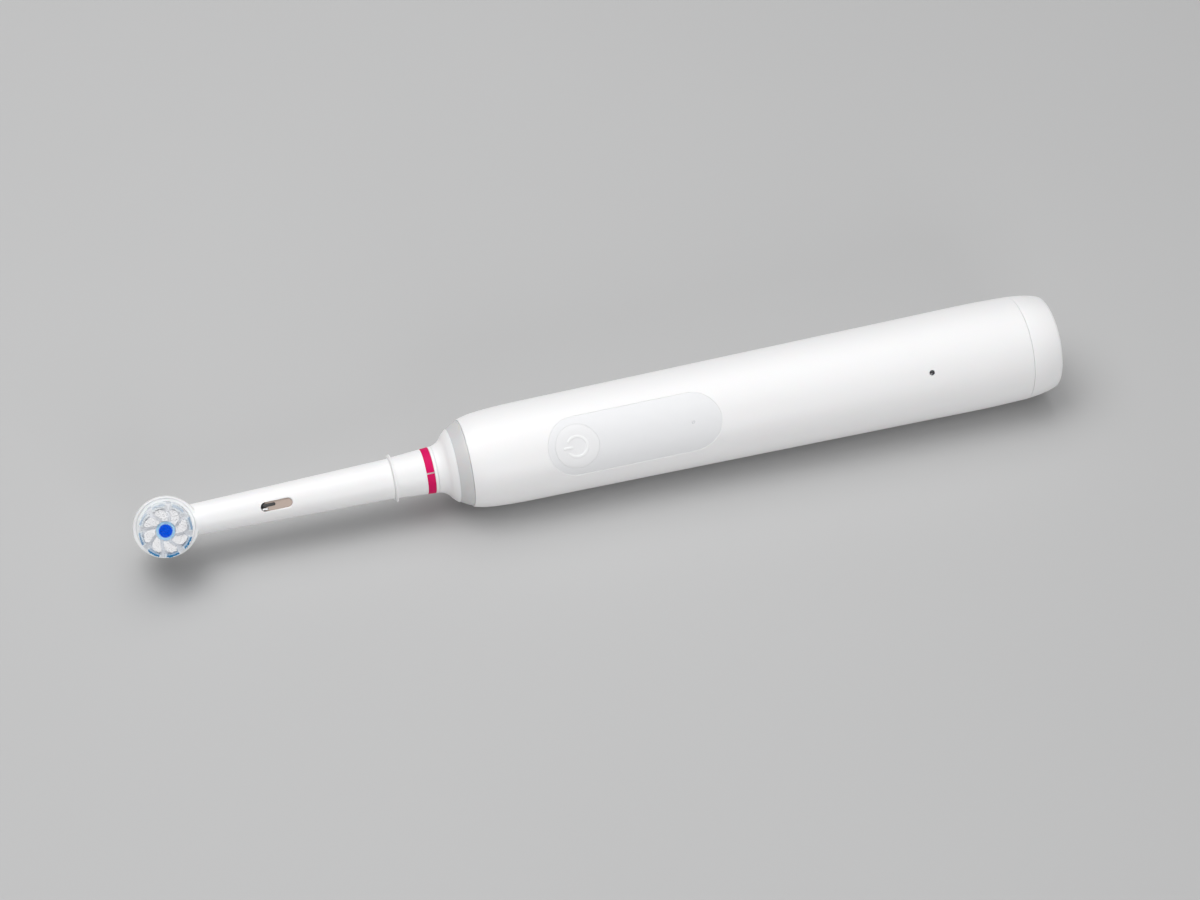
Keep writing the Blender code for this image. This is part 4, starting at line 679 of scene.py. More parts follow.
@dataclass(frozen=True)
class HandleForm:
    """Outside of the handle from the base seam to the end of the nose, as a radius for each station."""

    knots: tuple[tuple[float, float], ...] = (
        (4.2, 13.1), (9.1, 13.45), (20.0, 13.65), (32.0, 13.531), (128.0, 12.578), (140.95, 12.45),
        (144.85, 12.308), (148.1, 12.109), (150.31, 11.882), (152.26, 11.513), (153.95, 11.03),
        (156.95, 9.4), (158.38, 8.12), (159.25, 7.02), (159.95, 6.49), (160.73, 6.1), (161.6, 5.85),
    )
    wall: float = 1.5  # thickness of the shell

    def radius(self, stations: Array | float) -> Array:
        """Outside radius at some stations, a hair less than the corners of the solid's flat sides."""
        return SmoothCurve(self.knots)(stations) * FIT

    def outline(self, stations: Array, sink: float = 0.0) -> Array:
        """Rows of station and outside radius, lowered by a sink."""
        return np.stack([stations, self.radius(stations) - sink], axis=1)

    def skin(
        self, stations: Array, sides: Array, depth: Array | float, side: Side = Side.FRONT, drop: float = 0.0
    ) -> Array:
        """Points on or below the skin.

        Args:
            stations: distances from the base face.
            sides: distances across the handle, seen from straight in front of that line.
            depth: distances below the skin.
            side: the line of the handle that the distances count from.
            drop: distance straight down from there, so that a hole's wall is as upright as what moves in it.

        Returns:
            Station, side and front of each point: the sideways distance gives the angle by its arc sine,
            and the depth shortens the radius.
        """
        radius = self.radius(stations)
        angle = side.value + np.arcsin(np.clip(sides / radius, -1, 1))
        inside = radius - depth
        height = inside * np.cos(angle) - drop * math.cos(side.value)
        return np.stack([stations + 0 * angle, inside * np.sin(angle), height], axis=-1)


@dataclass(frozen=True)
class Opening:
    """A round-ended opening in the handle's wall, along one line of the handle."""

    rear: float  # station of its end towards the base
    front: float  # station of its end towards the head
    width: float
    side: Side
    margin: float  # how far the grid round it stays away from its ends
    columns: int  # number of the grid's columns on each side of its line
    edge: float = 0.12  # radius of its rounded edge

    @property
    def middle(self) -> float:
        """Station of its middle."""
        return (self.rear + self.front) / 2

    @property
    def reach(self) -> float:
        """Distance from its middle to the centres of its round ends."""
        return (self.front - self.rear - self.width) / 2

    def offset(self, stations: Array, sides: Array, distance: float) -> tuple[Array, Array]:
        """The outline at a distance outside of it, on the spokes that lead to some points.

        Args:
            stations: stations of points round the opening.
            sides: their distances across the handle.
            distance: how far outside the outline, or inside where it is negative.

        Returns:
            Stations and sides. A spoke starts at the nearest point of the line that joins the centres of
            the round ends, and runs half a width and the distance towards its point.
        """
        along = stations - self.middle
        start = np.clip(along, -self.reach, self.reach)
        length = np.hypot(along - start, sides)
        radius = self.width / 2 + distance
        return self.middle + start + radius * (along - start) / length, radius * sides / length


@dataclass
class Handle:
    """White shell of the handle, its soft inlays front and back, and two small lights."""

    shop: Workshop
    form: HandleForm
    seam: float = 8.3  # station of the base seam
    front: float = 153.95  # station of the light ring's rear edge
    lip: float = 7.9  # radius of the hole at the front, round the nose's skirt
    lip_length: float = 3.2  # length of that hole's wall
    edge: float = 0.12  # radius of the shell's rounded ends
    end_gap: float = 0.10  # gap between the shell and its neighbours in front and behind
    row: float = 1.5  # greatest length of the shell's faces
    columns: int = 144  # number of the shell's faces round the handle
    rim_rings: tuple[float, ...] = (0.9, 0.5, 0.2)  # distances of rings round an opening's rounded edge
    fold: float = 0.5  # how far an inner or outer face runs on past its edge before the next ring
    panel: Opening = Opening(90.5, 134.8, 14.7, Side.FRONT, 1.8, 17, 0.12)
    grip: Opening = Opening(56.95, 128.95, 12.0, Side.BACK, 1.8, 13, 0.20)
    charge: Opening = Opening(34.75, 36.15, 1.4, Side.FRONT, 1.4, 4)
    recess: float = 0.09  # how deep the front panel's skin lies below the shell's
    soft_edge: float = 0.05  # radius of the panel's rounded edge
    hole_edge: float = 0.08  # radius of the rounded edges of the panel's holes
    fit_gap: float = 0.01  # gap between the shell and its inlays
    hole_gap: float = 0.02  # gap round the button and the panel's light
    button_radius: float = 5.5
    panel_light: float = 0.4  # radius of the panel's own light
    charge_light: float = 0.62  # radius of the charge light
    light_foot: float = 9.7  # height of the lights' inner ends above the axis
    dome: float = 0.12  # height of the lights' domes
    grip_edge: float = 0.25  # radius of the grip's rounded edge
    rib_pitch: float = 4.5  # distance between the grip's ribs
    rib_height: float = 0.3

    def build(self) -> None:
        """Makes and dresses every piece of the handle."""
        self.build_housing()
        self.build_panel()
        self.build_grip()
        self.build_lights()

    def build_housing(self) -> None:
        """The shell: its outline is turned into a closed grid, whose faces at each opening give way to rings.

        The outline runs along the outer skin, round the front end, back along the inner skin and round the
        rear end. Rows lie at the same stations on both skins, so that an opening's rings join both.
        """
        openings = (self.panel, self.grip, self.charge)
        rear, front, step = self.seam + self.end_gap, self.front - self.end_gap, self.front - self.lip_length
        bounds = [rear + self.edge, step, front - self.edge]
        for opening in openings:
            bounds += [opening.rear - opening.margin, opening.front + opening.margin]
        outer = resampled(np.array([(bound, 0.0) for bound in sorted(bounds)]), self.row)[:, 0]
        inner = outer[outer <= step + 1e-6][::-1]
        skin, lining = self.form.outline(outer), self.form.outline(inner, self.form.wall)
        rear_skin, front_skin = self.form.outline(np.array([rear, front]))
        rear_foot, front_foot = rear_skin - (0, self.form.wall), np.array([front, self.lip])
        front_arc = arc_between(skin[-1], front_skin, front_foot, self.edge, 4)[1:]
        rear_arc = arc_between(rear_foot, rear_skin, skin[0], self.edge, 4)[:-1]
        outline = np.concatenate(
            [skin, front_arc, [front_foot, (step, self.lip)], lining, [rear_foot], rear_arc]
        )
        grid = turned(outline, full_turn(self.columns))
        faces = grid_faces(len(outline), self.columns, True, True)
        row, column = np.divmod(np.arange(len(faces)), self.columns)
        keep = np.ones(len(faces), bool)
        lining_start = len(skin) + len(front_arc) + 2
        sheet = Sheet()
        for opening in openings:
            low, high = opening.rear - opening.margin - 1e-6, opening.front + opening.margin + 1e-6
            rows = np.flatnonzero((outer >= low) & (outer <= high))
            back = lining_start + np.flatnonzero((inner >= low) & (inner <= high))
            start = round(opening.side.value / math.tau * self.columns) - opening.columns
            across = (column - start) % self.columns < 2 * opening.columns
            for span in (rows, back):
                keep &= ~(across & (row >= span[0]) & (row < span[-1]))
            self._frame(sheet, opening, outer[rows])
        sheet.add(grid, faces[keep])
        self.shop.dress(self.shop.mesh("shell", sheet), WHITE_GLOSS, "handle", "gloss_white", "housing")

    def _frame(self, sheet: Sheet, opening: Opening, stations: Array) -> None:
        """Rings from the grid's rectangle to the opening's edge, through the wall and back on the inside.

        Args:
            sheet: where the rings go.
            opening: the opening.
            stations: stations of the grid's rows beside it, from its rear to its front end.
        """
        turns = np.arange(-opening.columns, opening.columns + 1) * (math.tau / self.columns)
        across, beside = np.ones(len(turns) - 1), np.ones(len(stations) - 1)
        along = np.concatenate([stations[0] * across, stations[:-1], stations[-1] * across, stations[:0:-1]])
        turn = np.concatenate([turns[:-1], turns[-1] * beside, turns[:0:-1], turns[0] * beside])
        sides = self.form.radius(along) * np.sin(turn)
        wall = self.form.wall
        rims = [(opening.edge + distance, 0.0) for distance in self.rim_rings]
        rims += [*quarter(opening.edge), (0.0, wall / 2), (0.0, wall), (self.fold, wall)]
        rings = [self.form.skin(along, sides, 0.0, opening.side)]
        for distance, depth in rims:
            rings.append(self.form.skin(*opening.offset(along, sides, distance), depth, opening.side))
        rings.append(self.form.skin(along, sides, wall, opening.side))
        sheet.grid(np.stack(rings), close_columns=True)

    def build_panel(self) -> None:
        """The soft panel round the button: rings along its rim, and two fields that meet in its middle.

        Each field is a ring of spokes from a round hole to a D-shaped border. The border's straight cut is
        the line on which both fields meet.
        """
        panel, wall = self.panel, self.form.wall
        sheet = Sheet()
        rims = []
        border, open_count = self._field_border(panel.width / 2 - self.fit_gap - self.fold, panel.reach)
        spokes = border / np.linalg.norm(border, axis=0)
        shares = np.linspace(0, 1, 11)[1:] ** 1.3  # of the way from a hole to the border, closer at the hole
        for towards, hole in ((1, self.button_radius), (-1, self.panel_light)):
            centre = panel.middle + towards * panel.reach
            hole += self.hole_gap
            edge = [
                ((hole + distance) * spokes, self.recess, drop)
                for distance, drop in quarter(self.hole_edge)[::-1]
            ]
            start = edge[-1][0]
            skin = [(start + (border - start) * share, self.recess, 0.0) for share in shares]
            rows = [(border, wall, 0.0), (edge[0][0], self.recess, wall - self.recess), *edge, *skin]
            points = [
                self.form.skin(centre + towards * u, y, depth, drop=drop) for (u, y), depth, drop in rows
            ]
            sheet.grid(np.stack(points), close_columns=True)
            rim = border[:, :open_count] * [[towards], [1]] + [[centre], [0]]
            rims.append(rim if towards > 0 else rim[:, -2:0:-1])
        rim = np.concatenate(rims, axis=1)
        soft = [(distance, depth + self.recess) for distance, depth in quarter(self.soft_edge, 5)]
        rings = [
            self.form.skin(*panel.offset(*rim, -self.fit_gap - distance), depth)
            for distance, depth in [(self.fold, self.recess), *soft, (0.0, wall), (self.fold, wall)]
        ]
        sheet.grid(np.stack(rings), close_columns=True)
        self.shop.dress(self.shop.mesh("soft_panel", sheet), SOFT_GREY, "handle", "soft_grey", "front_panel")

    @staticmethod
    def _field_border(half: float, reach: float, steps: int = 96, cross: int = 10) -> tuple[Array, int]:
        """The D-shaped border of one half of the panel, counted from the centre of its round end.

        Args:
            half: half of its width.
            reach: distance from that centre to the straight cut.
            steps: number of stretches round the end and along the sides.
            cross: number of stretches along the cut.

        Returns:
            Distances along and across, and how many of them lie on the open border. A spoke at an angle
            meets the round end at half a width, and the sides where its height is half a width.
        """
        corner = math.pi - math.atan2(half, reach)
        angles = np.linspace(-corner, corner, steps + 1)
        height = np.where(np.abs(angles) > math.pi / 2, np.abs(np.sin(angles)), 1.0)
        cut = np.linspace(half, -half, cross + 1)[1:-1]
        border = half * np.stack([np.cos(angles), np.sin(angles)]) / height
        return np.concatenate([border, [np.full(len(cut), -reach), cut]], axis=1), steps + 1

    def build_grip(self) -> None:
        """The ribbed inlay on the back: rings from its rim to its middle line, raised by rounded ribs."""
        grip, wall = self.grip, self.form.wall
        half = grip.width / 2 - self.fit_gap
        straight = np.linspace(-grip.reach, grip.reach, 289)
        turn = np.linspace(-math.pi / 2, math.pi / 2, 25)[1:-1]
        flank = np.full(len(straight), half)
        bulge, height = grip.reach + half * np.cos(turn), half * np.sin(turn)
        stations = grip.middle + np.concatenate([straight, bulge, straight[::-1], -bulge])
        across = np.concatenate([-flank, height, flank, -height])
        rims = [(0.0, wall), *quarter(self.grip_edge)[::-1]]
        rims += [(distance, 0.0) for distance in (0.5, 0.8, 1.2, 1.6, 2.2, 2.9, 3.6, 4.3, 5.0, half)]
        rings = []
        for distance, depth in rims:
            spot = grip.offset(stations, across, -self.fit_gap - min(distance, half - 1e-4))
            rings.append(self.form.skin(*spot, depth - self._rib(spot[0], distance), grip.side))
        rings.append(self.form.skin(*spot, wall, grip.side))
        piece = self.shop.mesh("ribbed_grip", Sheet().grid(np.stack(rings), True, True))
        self.shop.dress(piece, SOFT_GREY, "handle", "soft_grey", "rear_grip")

    def _rib(self, stations: Array, distance: float) -> Array:
        """Height of the ribs: a smooth step up and down in each pitch, fading towards the rim.

        Args:
            stations: stations of the points.
            distance: their distance from the rim.

        Returns:
            The height at each point.
        """
        count = int(2 * self.grip.reach / self.rib_pitch)
        start = self.grip.middle - count * self.rib_pitch / 2
        share = (stations - start) / self.rib_pitch % 1
        wave = smooth_step(0.22, 0.40, share) * smooth_step(0.78, 0.60, share)
        inside = (stations > start) & (stations < start + count * self.rib_pitch)
        return self.rib_height * wave * smooth_step(0.5, 1.6, distance) * inside

    def build_lights(self) -> None:
        """Two small domed light guides in front of their diodes."""
        rear_end = self.panel.rear + self.panel.width / 2
        for name, station, radius, sink, finish, node in (
            ("charge_window", self.charge.middle, self.charge_light, 0.0, SMOKED_LENS, "charge_lens"),
            ("panel_window", rear_end, self.panel_light, self.recess, PALE_LENS, "panel_lens"),
        ):
            top = float(self.form.radius(station)) - sink
            dome = [(top - self.dome * (step / 5) ** 2, radius * step / 5) for step in range(6)]
            outline = np.array([*dome, (self.light_foot, radius), (self.light_foot, 0)])
            piece = self.shop.lathe(name, outline, 32, Around.FRONT, (station, 0, 0))
            self.shop.dress(piece, finish, "handle", "lens_dark", node)


@dataclass
class PushButton:
    """The round button with its raised power sign, and the stem below it."""

    shop: Workshop
    form: HandleForm
    station: float = 127.45  # station of its middle
    radius: float = 5.5
    recess: float = 0.09  # how deep its rim lies below the shell
    dish: float = 0.45  # depth of the shallow hollow in its top
    edge: float = 0.08  # radius of its rounded rim
    thickness: float = 1.5
    spokes: int = 180  # number of points round it
    sign_field: float = 3.4  # radius inside which the rows are fine enough for the sign
    sign_radius: float = 2.85  # outer radius of the sign's ring
    line: float = 0.58  # width of the sign's lines
    bar: float = 2.4  # length of the sign's bar
    gap: float = math.radians(38)  # half of the angle where the ring is open
    height: float = 0.14  # height of the sign
    blur: float = 0.06  # half of the width over which the sign's edges rise
    stem_radius: float = 1.6
    stem_flare: float = 0.3  # size of the slope where the stem meets the button
    stem_end: float = 10.8  # height of the stem's end above the axis

    def build(self) -> None:
        """Makes and dresses the button: rows of its top, its rim, its wall, and its stem to the axis."""
        angles = full_turn(self.spokes)
        cosines, sines = np.cos(angles), np.sin(angles)
        fine = np.linspace(0, self.sign_field, 57)
        rows = np.concatenate([fine, np.linspace(self.sign_field, self.radius - self.edge, 14)[1:]])[:, None]
        along, across = rows * cosines, rows * sines
        sign = self._sign(along, across)
        hollow = self.dish * (1 - smooth_step(0.0, self.radius * 0.93, np.hypot(along, across)))
        top = self.form.skin(self.station + along, across, self.recess + hollow - self.height * sign)
        rings = []
        for distance, drop in [*quarter(self.edge)[1:], (0.0, self.thickness - self.recess)]:
            radius = self.radius - distance
            spot = (self.station + radius * cosines, radius * sines)
            rings.append(self.form.skin(*spot, self.recess, drop=drop))
        flat = float(self.form.radius(self.station)) - self.thickness
        for radius, level in (
            (self.stem_radius + self.stem_flare, flat), (self.stem_radius, flat - self.stem_flare),
            (self.stem_radius, self.stem_end), (0.0, self.stem_end),
        ):
            ring = [self.station + radius * cosines, radius * sines, level + 0 * angles]
            rings.append(np.stack(ring, axis=-1))
        points = np.concatenate([top, np.stack(rings)])
        mark = np.concatenate([sign, np.zeros((len(rings), self.spokes))])
        piece = self.shop.mesh("push_button", Sheet().grid(points, close_columns=True), mark=mark.ravel())
        self.shop.dress(piece, BUTTON_GREY, "button", "soft_grey", "button_cap")

    def _sign(self, along: Array, across: Array) -> Array:
        """1 on the power sign and 0 beside it, by the distance to an open ring and a bar.

        Args:
            along: distances towards the head from the button's middle.
            across: distances across the handle.

        Returns:
            The share of the sign's height at each point.
        """
        middle = self.sign_radius - self.line / 2
        radius, angle = np.hypot(along, across), np.abs(np.arctan2(across, along))
        tip = np.hypot(along - middle * math.cos(self.gap), np.abs(across) - middle * math.sin(self.gap))
        ring = np.where(angle > self.gap, np.abs(radius - middle), tip)
        far = self.sign_radius + self.line / 2
        bar = np.hypot(along - np.clip(along, far - self.bar + self.line, far), across)
        return smooth_step(self.blur, -self.blur, np.minimum(ring, bar) - self.line / 2)


@dataclass
class BaseEnd:
    """The cap at the base with its charging socket, and its seal."""

    shop: Workshop
    form: HandleForm
    seam: float = 8.3  # station of the seam with the shell
    bend: tuple[tuple[float, float], ...] = (  # stations and radii that the cap's rounded side follows
        (0.0, 9.6), (0.0, 11.5), (0.55, 12.05), (2.6, 12.62), (5.0, 13.10), (6.6, 13.25),
    )
    edge: float = 0.10  # radius of the cap's edge at the seam
    socket: float = 3.6  # radius of the charging socket
    socket_depth: float = 12.0
    socket_wall: float = 1.2
    socket_lead: tuple[tuple[float, float], ...] = (  # stations of its mouth and how far it flares there
        (0.45, 0.0), (0.12, 0.14), (0.0, 0.5),
    )
    well: float = 0.3  # chamfer at its floor
    skirt: float = 11.65  # outer radius of the skirt inside the shell
    skirt_end: float = 13.3  # station of the skirt's end
    skirt_wall: float = 1.2  # thickness of the skirt below the seal
    corner: float = 0.12  # radius of the skirt's corners
    ring: float = 0.45  # radius of the sealing ring's section
    floor: float = 1.6  # thickness of the cap's floor

    def build(self) -> None:
        """Makes and dresses the cap and its seal."""
        middle, reach = (self.seam + self.skirt_end) / 2, self.ring + CLEARANCE
        groove = self.skirt - 2 * self.ring - CLEARANCE
        self._build_cap(middle - reach, middle + reach, groove)
        angles = full_turn(20)
        section = self.ring * np.stack([np.cos(angles), np.sin(angles)], axis=1) + (middle, groove + reach)
        seal = self.shop.lathe("cap_seal", section, 128)
        self.shop.dress(seal, BLACK_RUBBER, "handle", "black_rubber", "base_seal")

    def _build_cap(self, rear: float, front: float, groove: float) -> None:
        """The cap: socket, face, rounded side, seam, and the skirt with the seal's groove, in one outline.

        Args:
            rear: station of the groove's end towards the base.
            front: station of its other end.
            groove: radius of its floor.
        """
        curve = softened(np.array(self.bend) * (1, FIT), 4)
        corner = np.array([self.seam, self.form.radius(self.seam)])
        seam = arc_between(curve[-1], corner, np.array([self.seam, self.skirt]), self.edge, 4)
        inside, tube, end = groove - self.skirt_wall, self.socket + self.socket_wall, self.socket_depth
        body = rounded(
            [
                (self.seam, self.skirt), (rear, self.skirt), (rear, groove), (front, groove),
                (front, self.skirt), (self.skirt_end, self.skirt), (self.skirt_end, inside),
                (self.floor, inside), (self.floor, tube), (end + self.socket_wall, tube),
                (end + self.socket_wall, 0),
            ],
            self.corner, 2, closed=False,
        )
        lead = [(station, self.socket + flare) for station, flare in self.socket_lead]
        well = [(end, 0), (end, self.socket - self.well), (end - self.well, self.socket)]
        cap = self.shop.lathe("rounded_cap", np.concatenate([well, lead, curve, seam, body]), 160)
        self.shop.dress(cap, WHITE_GLOSS, "handle", "gloss_white", "base_cap")


@dataclass
class Nose:
    """The translucent ring, and the cone with the spigot that takes the brush head."""

    shop: Workshop
    form: HandleForm
    ring_rear: float = 153.95  # station of the ring's rear edge
    ring_front: float = 156.95  # station of its front edge
    overlap: tuple[float, float] = (0.04, 0.10)  # how far the ring reaches past both, to fill the gaps
    ring_edge: float = 0.06  # radius of its corners
    sink: float = 0.26  # how much lower the ring lies than its neighbours
    seam: float = 0.02  # width of the thin seam in front of the ring
    end: float = 161.6  # station of the cone's end
    tip: float = 171.0  # station of the spigot's end
    bore: float = 7.9  # radius of the ring's hole
    skirt: float = 7.6  # radius of the cone's skirt inside the shell
    skirt_rear: float = 148.45  # station of the skirt's end
    spigot: float = 4.2  # radius of the spigot at its root
    taper: float = 0.2  # how much thinner the spigot's end is
    shaft_hole: float = 2.2  # radius of the hole for the drive shaft
    pocket: float = 3.3  # radius of the pockets for seal and bearing
    pocket_depth: float = 3.1  # depth of the front pocket
    pocket_floor: float = 156.75  # station of the rear pocket's floor
    edge: float = 0.12  # radius of the cone's corners

    def build(self) -> None:
        """Makes and dresses the ring and the cone."""
        rear, front = self.ring_rear - self.overlap[0], self.ring_front + self.overlap[1]
        skin = self.form.outline(np.linspace(rear, front, 17), self.sink)
        outline = rounded([(rear, self.bore), *skin.tolist(), (front, self.bore)], self.ring_edge, 3)
        ring = self.shop.lathe("translucent_ring", outline, 160)
        self.shop.dress(ring, RING_GREY, "handle", "ring_grey", "light_ring")
        rear, inner = front + self.seam, self.tip - self.pocket_depth
        cone = self.form.outline(np.linspace(rear, self.end, 41)).tolist()
        outline = [
            (self.skirt_rear, self.skirt), (self.ring_front + CLEARANCE, self.skirt),
            (rear, self.skirt + 0.2), *cone, (self.end, self.spigot),
            (self.tip, self.spigot - self.taper), (self.tip, self.pocket), (inner, self.pocket),
            (inner, self.shaft_hole), (self.pocket_floor, self.shaft_hole),
            (self.pocket_floor, self.pocket), (self.skirt_rear, self.pocket),
        ]
        piece = self.shop.lathe("nose_cone", rounded(outline, self.edge, 3), 160)
        self.shop.dress(piece, WHITE_GLOSS, "handle", "gloss_white", "nose_collar")


@dataclass
class Refill:
    """The brush's exchangeable part without its bristles."""

    shop: Workshop
    start: float = 161.66  # station of the flared base's rear end
    tube_start: float = 172.61  # station where the tube starts
    tube_lead: float = 0.35  # length of its first stretch, which takes the rounded edge
    tube_edge: float = 0.08  # radius of that edge
    head: float = 228.9  # station of the head's centre
    tube_radius: float = 5.0  # radius of the tube at its start
    neck_radius: float = 3.9  # its radius at the bowl
    bowl: float = 8.0  # radius of the head's bowl along the handle
    bowl_width: float = 0.94  # its share across the handle
    bowl_back: float = 4.4  # its depth behind the axis
    bowl_rim: float = 3.4  # height of its rim in front of the axis
    bowl_side: tuple[tuple[float, float], ...] = (  # shares of the depth and of the radius on its back
        (1.0, 0.0), (1.0, 0.36), (1.0, 0.56), (0.84, 0.76), (0.40, 0.93),
    )
    bowl_belly: tuple[tuple[float, float], ...] = (  # shares of the rim's height and of the radius
        (0.1, 0.99), (0.5, 1.0), (0.85, 1.0),
    )
    bowl_edge: float = 0.34  # radius of the rim's outer edge
    seam_reach: tuple[float, float] = (0.7, 0.9)  # how far from tube and bowl their seam is softened
    cavity: float = 7.05  # radius of the hollow under the bristles
    flare: float = 0.12  # radius of the hollow's rounded mouth
    floor: float = 1.2  # depth of that hollow's floor behind the axis
    slot: float = 201.7  # station of the middle of the see-through slot
    slot_length: float = 7.8
    slot_width: float = 2.3
    slot_edge: float = 0.22  # radius of the slot's rounded edge
    insert_gap: float = 1.1  # distance from the insert to the slot's head end
    insert_foot: float = 2.1  # height of the insert's underside above the axis
    insert_edge: float = 0.08  # drop of the insert's edge
    sink: float = 0.45  # how deep the insert's top lies below the tube's skin
    bore: float = 2.0  # radius of the bore along the tube
    plug: float = 4.0  # radius of the bore's end that takes the flared base
    plug_end: float = 180.7  # station of its end
    coupling: float = 2.7  # radius of the stretch round the coupling
    skirt_radius: float = 5.85  # radius of the flared base at its start
    lip: float = 5.95  # radius of the thin lip
    lip_station: float = 172.6  # station of its front face
    lip_thickness: float = 0.6
    ring_start: float = 162.42  # station of the colour ring's rear edge
    ring_width: float = 1.95
    ring_depth: float = 0.4  # thickness of the colour ring
    slit: float = math.radians(4.5)  # angle of its slit

    def build(self) -> None:
        """Makes and dresses every piece."""
        self.build_tube()
        self.build_insert()
        self.build_base()
        self.build_ring()

    def _tube(self, stations: Array | float) -> Array | float:
        """Radius of the tube, which tapers evenly from its start to the bowl."""
        share = (stations - self.tube_start) / (self.head - self.bowl - self.tube_start)
        return self.tube_radius + (self.neck_radius - self.tube_radius) * share

    def _skin(self, stations: Array, sides: Array) -> Array:
        """Height of the tube's skin in front of the axis: radius squared less the side squared, rooted."""
        return np.sqrt(self._tube(stations) ** 2 - sides**2)

    def _skirt(self, station: float) -> float:
        """Radius of the flared base, which tapers evenly to the tube's radius."""
        slope = (self.tube_radius - self.skirt_radius) / (self.lip_station - self.start)
        return self.skirt_radius + slope * (station - self.start)

    def build_tube(self) -> None:
        """Tube and bowl joined into one body, hollowed, and opened by the slot."""
        neck = self.head - self.bowl
        steps = np.linspace(self.tube_start + self.tube_lead, neck, 150)
        skin = np.stack([steps, self._tube(steps)], axis=1)
        axis, corner = np.array([[self.tube_start, 0], [self.tube_start, self.tube_radius]])
        lead = arc_between(axis, corner, skin[0], self.tube_edge, 3)
        end = np.linspace(neck, self.head, 24)[1:]
        tail = [*zip(end, np.full(len(end), self.neck_radius)), (self.head, 0)]
        tube = self.shop.lathe("refill_tube", np.concatenate([axis[None], lead, skin, tail]), 128)
        front = (Around.FRONT, (self.head, 0, 0))
        combine(tube, self.shop.lathe("bowl", self._bowl_outline(), 160, *front, self.bowl_width), "UNION")
        soften_seam(tube, self._near_seam, 14)
        combine(tube, self.shop.lathe("hollow", self._hollow_outline(), 128, *front), "DIFFERENCE")
        combine(tube, self.shop.lathe("bore", self._bore_outline(), 128), "DIFFERENCE")
        combine(tube, self._slot_cutter(), "DIFFERENCE")
        smoothed(tube.data)
        self.shop.dress(tube, WHITE_GLOSS, "refill", "gloss_white", "brush_tube")

    def _bowl_outline(self) -> Array:
        """Heights and radii of the bowl: a soft back, a bellied side and a flat rim with rounded edge."""
        radius, back, rim = self.bowl * FIT, self.bowl_back, self.bowl_rim
        side = [(-share * back, wide * radius) for share, wide in self.bowl_side]
        side += [(share * rim, wide * radius) for share, wide in self.bowl_belly]
        soft = softened(np.array(side), 3)
        edge = arc_between(soft[-1], np.array([rim, radius]), np.array([rim, 0.0]), self.bowl_edge, 6)
        fine = resampled(np.concatenate([soft, edge]), 0.3)
        return np.concatenate([fine, [(rim, self.cavity - 0.5), (rim, 0)]])

    def _near_seam(self, point: Vector) -> bool:
        """Says whether a point in metres lies near the line where the tube meets the bowl.

        It has to be near both the tube's round and the bowl's, which gets narrower towards its back.

        Args:
            point: the point.

        Returns:
            Whether it is near.
        """
        place = self.shop.place
        offset = (point - Vector(place.head)) / MM
        x, z = offset.dot(Vector(place.to_base)), offset.dot(Vector(place.front))
        y = math.sqrt(max(offset.length_squared - x * x - z * z, 0.0))
        behind = min(z, 0.0) / self.bowl_back
        bowl = self.bowl * FIT * math.sqrt(max(0.05, 1 - behind**4))
        to_tube = abs(math.hypot(y, z) - self.neck_radius)
        to_bowl = abs(math.hypot(x, y / self.bowl_width) - bowl)
        return x >= 2 and to_tube < self.seam_reach[0] and to_bowl < self.seam_reach[1]

    def _hollow_outline(self) -> Array:
        """Heights and radii of the hollow, flared where it meets the rim."""
        floor, cavity, flare, rim = -self.floor, self.cavity, self.flare, self.bowl_rim
        turn = np.linspace(0.2, math.pi / 2, 6)
        mouth = zip(rim + 0.02 - flare * np.cos(turn), cavity + flare * (1 - np.sin(turn[::-1] - 0.2)))
        return np.array(
            [
                (floor, 0), (floor, cavity - 0.4), (floor + 0.12, cavity - 0.12), (floor + 0.4, cavity),
                (rim - 0.14, cavity), *mouth, (rim + 2, cavity + 0.14), (rim + 2, 0),
            ]
        )

    def _bore_outline(self) -> Array:
        """Stations and radii of the bore: wide for plug and coupling, narrower up to the hollow."""
        mouth, end = self.tube_start - 1, self.head - 1.5
        return np.array(
            [
                (mouth, 0), (mouth, self.plug), (self.plug_end, self.plug), (self.plug_end, self.coupling),
                (183.2, self.coupling), (185.9, self.bore), (self.slot + self.slot_length, self.bore),
                (self.head - self.bowl, self.floor), (end, self.floor), (end, 0),
            ]
        )

    def _slot_cutter(self) -> bpy.types.Object:
        """A round-ended plug from the axis to above the tube, flared where it leaves the skin.

        Its rings are the slot's outline, scaled about the line that joins the centres of its round ends.

        Returns:
            The cutter.
        """
        half = self.slot_width / 2
        reach = self.slot_length / 2 - half
        turn = np.linspace(0, math.pi, 25)
        along = np.concatenate([reach + np.sin(turn) * half, -reach - np.sin(turn) * half])
        across = np.concatenate([-np.cos(turn) * half, np.cos(turn) * half])
        start = np.clip(along, -reach, reach)
        skin = self._tube(self.slot)
        rims = [(half + distance, -depth) for distance, depth in quarter(self.slot_edge)[::-1]]
        rings = []
        for radius, rise in [(0.0, None), (half, None), *rims, (half + self.slot_edge, 1.0), (0.0, 1.0)]:
            s, y = start + (along - start) * radius / half, across * radius / half
            if rise is None:
                height = 0 * y
            elif rise > 0:
                height = 0 * y + skin + rise
            else:
                height = np.sqrt(skin**2 - y**2) + rise
            rings.append(np.stack([self.slot + s, y, height], axis=-1))
        return self.shop.mesh("slot_cutter", Sheet().grid(np.stack(rings), close_columns=True))

